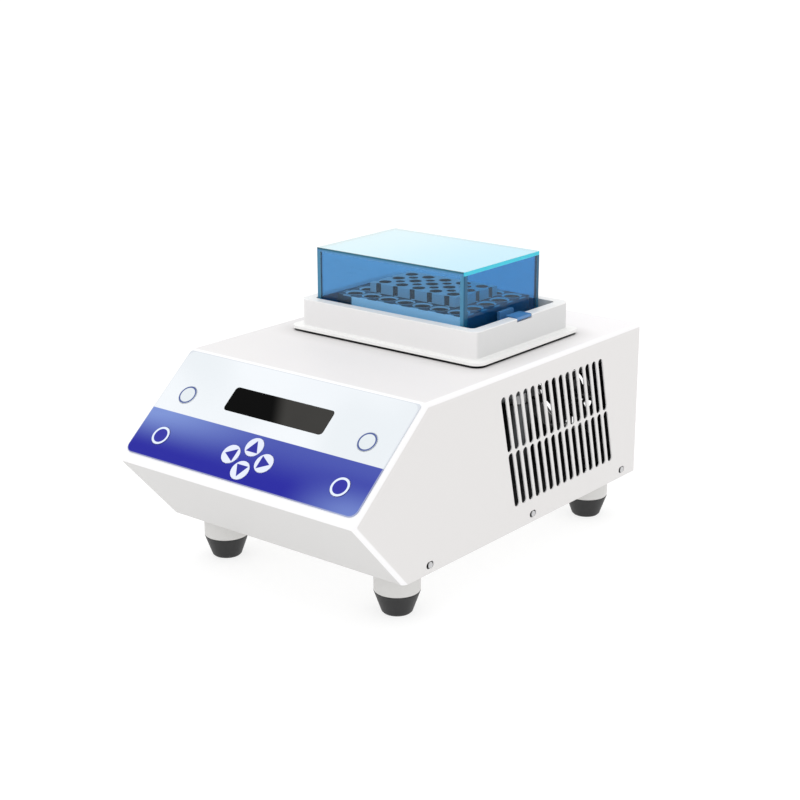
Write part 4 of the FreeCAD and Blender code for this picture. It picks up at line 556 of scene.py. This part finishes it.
def lid_acrylic():
    """Clear blue acrylic whose top reflects strongly at a low angle. Painted light and shade: a pale painted
    reflection on the top at a low angle, darker painted shade on the right wall, the corner columns and the
    top's front edge, a painted glint on the columns and a painted glow along the top's right edge.
    """
    wall_blue = srgb(133, 187, 223)
    surface = Surface("lid_acrylic", wall_blue, 0.02, IOR=1.38)
    low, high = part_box("lid")
    x, y, z = (surface.along(axis) for axis in (X, Y, Z))
    top_plate = surface.above(z, high.z - LID_WALL, LID_BLUR)
    in_right = surface.above(x, high.x - LID_COLUMN, LID_BLUR)
    in_left = surface.below(x, low.x + LID_COLUMN, LID_BLUR)
    in_front = surface.below(y, low.y + LID_COLUMN, LID_BLUR)
    in_rear = surface.above(y, high.y - LID_COLUMN, LID_BLUR)
    right_face = surface.step(x, high.x - 0.7 * MM, high.x - 0.4 * MM)
    front_face = surface.step(y, low.y + 0.7 * MM, low.y + 0.4 * MM)
    column = surface.both(
        surface.either(in_right, surface.both(in_left, in_front)),
        surface.either(in_front, in_rear),
        surface.off(top_plate),
    )
    # Painted glow along the top plate's right edge.
    edge_glow = surface.both(top_plate, right_face)
    edge_shade = surface.both(top_plate, front_face)
    facing = surface.node("ShaderNodeLayerWeight")
    facing.inputs["Blend"].default_value = 0.5
    shine = surface.step(facing.outputs["Facing"], 0.5, 0.8)

    # Painted shade: the right wall a darker blue.
    side = surface.mix(in_right, wall_blue, srgb(70, 163, 214))
    # Painted reflection: the top turns pale cyan at a low angle, lightest towards the left.
    top = surface.mix(surface.step(x, high.x, low.x), srgb(124, 232, 255), srgb(200, 250, 254))
    color = surface.mix(top_plate, side, surface.mix(shine, srgb(168, 214, 240), top))
    # Painted shade on the corner columns, darkest on the right face.
    column_shade = surface.mix(right_face, srgb(74, 142, 178), srgb(28, 96, 132))
    color = surface.mix(column, color, column_shade)
    # Painted glint in a band on the columns.
    glint = surface.both(
        column,
        surface.step(z, low.z + 7 * MM, low.z + 8 * MM),
        surface.step(z, low.z + 13 * MM, low.z + 11 * MM),
    )
    color = surface.mix(surface.times(glint, 0.7), color, srgb(88, 222, 240))
    # Painted shade on the front edge of the top plate, darker under its top line.
    line = surface.step(z, high.z - 1.3 * MM, high.z - 1.1 * MM)
    edge_blue = surface.mix(line, srgb(78, 140, 190), srgb(38, 106, 128))
    color = surface.mix(edge_shade, color, edge_blue)
    surface.set("Base Color", surface.mix(edge_glow, color, srgb(60, 214, 236)))

    clear = surface.blend(top_plate, 0.97, surface.blend(shine, 0.9, 0.35))
    clear = surface.blend(surface.either(edge_glow, edge_shade, column), clear, 0.2)
    surface.set("Transmission Weight", clear)
    surface.set("Coat Weight", surface.both(shine, top_plate))
    surface.set("Coat IOR", 2.6)
    return surface


def slotted_screw():
    """Plated screw, with dark painted shade over the part that sits below the housing's side."""
    surface = Surface("side_screw_steel", srgb(190, 190, 191), 0.35, Metallic=0.5)
    across = surface.away(surface.along(X))
    # Painted shade over the screw below the housing's side face.
    recess_shade = surface.step(across, HALF_WIDTH + 0.05 * MM, HALF_WIDTH - 0.15 * MM)
    grain = surface.noise(0.3 * MM, 3.0)
    plated = surface.mix(grain, srgb(176, 176, 177), srgb(214, 214, 215))
    surface.set("Base Color", surface.mix(recess_shade, plated, srgb(40, 40, 42)))
    surface.bump(grain, 0.01 * MM, 0.3)
    return surface


def inlet_moulding():
    """Black moulding with three plated pins in its socket."""
    black = srgb(34, 34, 36)
    surface = Surface("inlet_moulding", black, 0.48)
    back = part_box("power_inlet")[1].y - SOCKET_DEPTH
    clear_of_back = surface.step(surface.along(Y), back + 0.2 * MM, back + 0.4 * MM)
    across = surface.away(surface.along(X), SOCKET_MIDDLE[0])
    rise = surface.minus(surface.along(Z), SOCKET_MIDDLE[1])
    pins = []
    for place in ((0, PIN_STEP), (PIN_PITCH, -PIN_STEP)):
        reaches = [
            surface.step(surface.away(value, middle), half + 0.3 * MM, half + 0.1 * MM)
            for value, middle, half in zip((across, rise), place, PIN_HALF)
        ]
        pins.append(surface.both(*reaches, clear_of_back))
    moulded = surface.speckle(black, 8 * MM, 0.12)
    plated = surface.speckle(srgb(206, 204, 198), 3 * MM, 0.1)
    surface.set("Base Color", surface.mix(surface.either(*pins), moulded, plated))
    surface.texture(0.35 * MM, 0.02 * MM)
    return surface


def plain(name, color, roughness, size, share, grain=None, depth=0.02 * MM, **inputs):
    """A moulded, cast or painted finish with uneven colour and a fine grain."""
    surface = Surface(name, color, roughness, **inputs)
    surface.set("Base Color", surface.speckle(color, size, share))
    if grain is not None:
        surface.texture(grain, depth)
    return surface


def brushed(name, color, roughness, stretch):
    """Machined or plated metal with fine lines."""
    surface = Surface(name, color, roughness, Metallic=1.0)
    grain = surface.noise(0.25 * MM, 4.0, stretch)
    surface.set("Base Color", surface.mix(grain, darker(color, 0.2), color))
    surface.set("Roughness", surface.blend(grain, roughness * 0.8, roughness * 1.3))
    surface.bump(grain, 0.01 * MM, 0.3)
    return surface


def dress_outside():
    dress(housing_paint(), "housing_cover")
    dress(lined_coat("base_plate", -Z), "base_plate")
    dress(lined_coat("rear_panel", Y), "rear_panel")
    dress(tray_plastic(), "platform_frame")
    dress(panel_print(), "membrane_overlay")
    for name, centre in RING_KEYS.items():
        dress(ring_key(name, centre), name)
    for name, (centre, direction) in ARROW_KEYS.items():
        dress(arrow_key(name, centre, direction), name)
    dress(display_smoke(), "display_window")
    dress(lid_acrylic(), "lid")
    dress(plain("tab_acrylic", srgb(92, 156, 218), 0.12, 8 * MM, 0.08, Transmission_Weight=0.35), "lid_tab")
    dress(block_metal(), "heating_block")
    dress(plain("deck_black", srgb(44, 46, 50), 0.45, 12 * MM, 0.15, 0.5 * MM), "deck_plate")
    dress(plain("foot_rubber", srgb(26, 26, 27), 0.5, 6 * MM, 0.12, 0.5 * MM),
          *[f"foot_rubber_{corner}" for corner in CORNERS])
    dress(plain("spacer_plastic", srgb(213, 212, 210), 0.5, 12 * MM, 0.03, 0.6 * MM),
          "foot_spacers", "board_posts")
    dress(slotted_screw(), "side_screws")
    dress(plain("black_plastic", srgb(34, 34, 36), 0.48, 8 * MM, 0.12, 0.35 * MM),
          "fan_frame", "fan_rotor", "fan_guard", "fuse_drawer", "switch_frame", "power_rocker",
          "display_module")
    dress(inlet_moulding(), "power_inlet")


def dress_inside():
    dress(brushed("plated_steel", srgb(196, 196, 197), 0.3, (1, 1, 0.1)),
          "foot_screws", "foot_nuts", "base_screws", "block_screws", "frame_screws", "motor_screws",
          "fan_screws", "motor_shaft", "platform_bearings", "post_bearings", "temperature_probe",
          *[f"idler_crank_{corner}" for corner in CORNERS])
    dress(brushed("milled_aluminium", srgb(116, 118, 120), 0.42, (0.08, 1, 1)),
          "heater_plate", "platform_plate", "motor_bridge", "idler_posts", "drive_eccentric",
          "power_supply")
    dress(plain("motor_paint", srgb(58, 58, 62), 0.4, 12 * MM, 0.1, 0.5 * MM), "motor_case")
    dress(plain("board_mask", srgb(30, 92, 58), 0.35, 6 * MM, 0.2, 0.8 * MM), "key_board", "main_board")
    dress(plain("silicone_mat", srgb(196, 92, 48), 0.7, 6 * MM, 0.1, 0.4 * MM), "heater_mat")
    dress(plain("fibre_board", srgb(222, 214, 196), 0.9, 4 * MM, 0.15, 0.5 * MM, 0.1 * MM),
          "insulation_pad")
    dress(plain("fuse_tube", srgb(214, 222, 222), 0.08, 5 * MM, 0.05, Transmission_Weight=0.6), "fuse")


def add_camera():
    forward = Vector((
        -math.sin(CAMERA_YAW) * math.cos(CAMERA_PITCH),
        math.cos(CAMERA_YAW) * math.cos(CAMERA_PITCH),
        -math.sin(CAMERA_PITCH),
    ))
    level_right = Vector((math.cos(CAMERA_YAW), math.sin(CAMERA_YAW), 0))
    level_up = level_right.cross(forward)
    right = level_right * math.cos(CAMERA_ROLL) + level_up * math.sin(CAMERA_ROLL)
    up = level_up * math.cos(CAMERA_ROLL) - level_right * math.sin(CAMERA_ROLL)
    camera = bpy.data.objects.new("camera", bpy.data.cameras.new("camera"))
    camera.data.sensor_width = SENSOR_WIDTH
    camera.data.lens = FOCAL_PIXELS / PHOTO_PIXELS * SENSOR_WIDTH
    camera.matrix_world = Matrix((
        (right.x, up.x, -forward.x, CAMERA_PLACE.x),
        (right.y, up.y, -forward.y, CAMERA_PLACE.y),
        (right.z, up.z, -forward.z, CAMERA_PLACE.z),
        (0, 0, 0, 1),
    ))
    bpy.context.scene.collection.objects.link(camera)
    bpy.context.scene.camera = camera


def add_sun():
    """A soft sun that looks at the middle of the part."""
    lamp = bpy.data.lights.new("high_sun", "SUN")
    lamp.energy = SUN_STRENGTH
    lamp.angle = SUN_ANGLE
    sun = bpy.data.objects.new("high_sun", lamp)
    sun.location = SUN_PLACE
    sun.rotation_mode = "QUATERNION"
    sun.rotation_quaternion = ((cad_low + cad_high) / 2 - SUN_PLACE).to_track_quat("-Z", "Y")
    bpy.context.scene.collection.objects.link(sun)


def add_stage():
    """Pale floor and soft white surroundings."""
    near, far = -FLOOR_HALF, FLOOR_HALF
    mesh = bpy.data.meshes.new("floor")
    mesh.from_pydata([(near, near, 0), (far, near, 0), (far, far, 0), (near, far, 0)], [], [(0, 1, 2, 3)])
    floor = bpy.data.objects.new("floor", mesh)
    bpy.context.scene.collection.objects.link(floor)
    finish = Surface("pale_floor", srgb(152, 152, 152), 0.95, Specular_IOR_Level=0.0,
                     Emission_Color=(1, 1, 1, 1), Emission_Strength=FLOOR_GLOW)
    floor.data.materials.append(finish.material)
    world = bpy.data.worlds.new("studio")
    world.use_nodes = True
    background = world.node_tree.nodes["Background"]
    background.inputs["Color"].default_value = (1, 1, 1, 1)
    background.inputs["Strength"].default_value = WORLD_STRENGTH
    bpy.context.scene.world = world
    bpy.context.scene.view_settings.view_transform = "Standard"


add_camera()
add_stage()
add_sun()
dress_outside()
dress_inside()
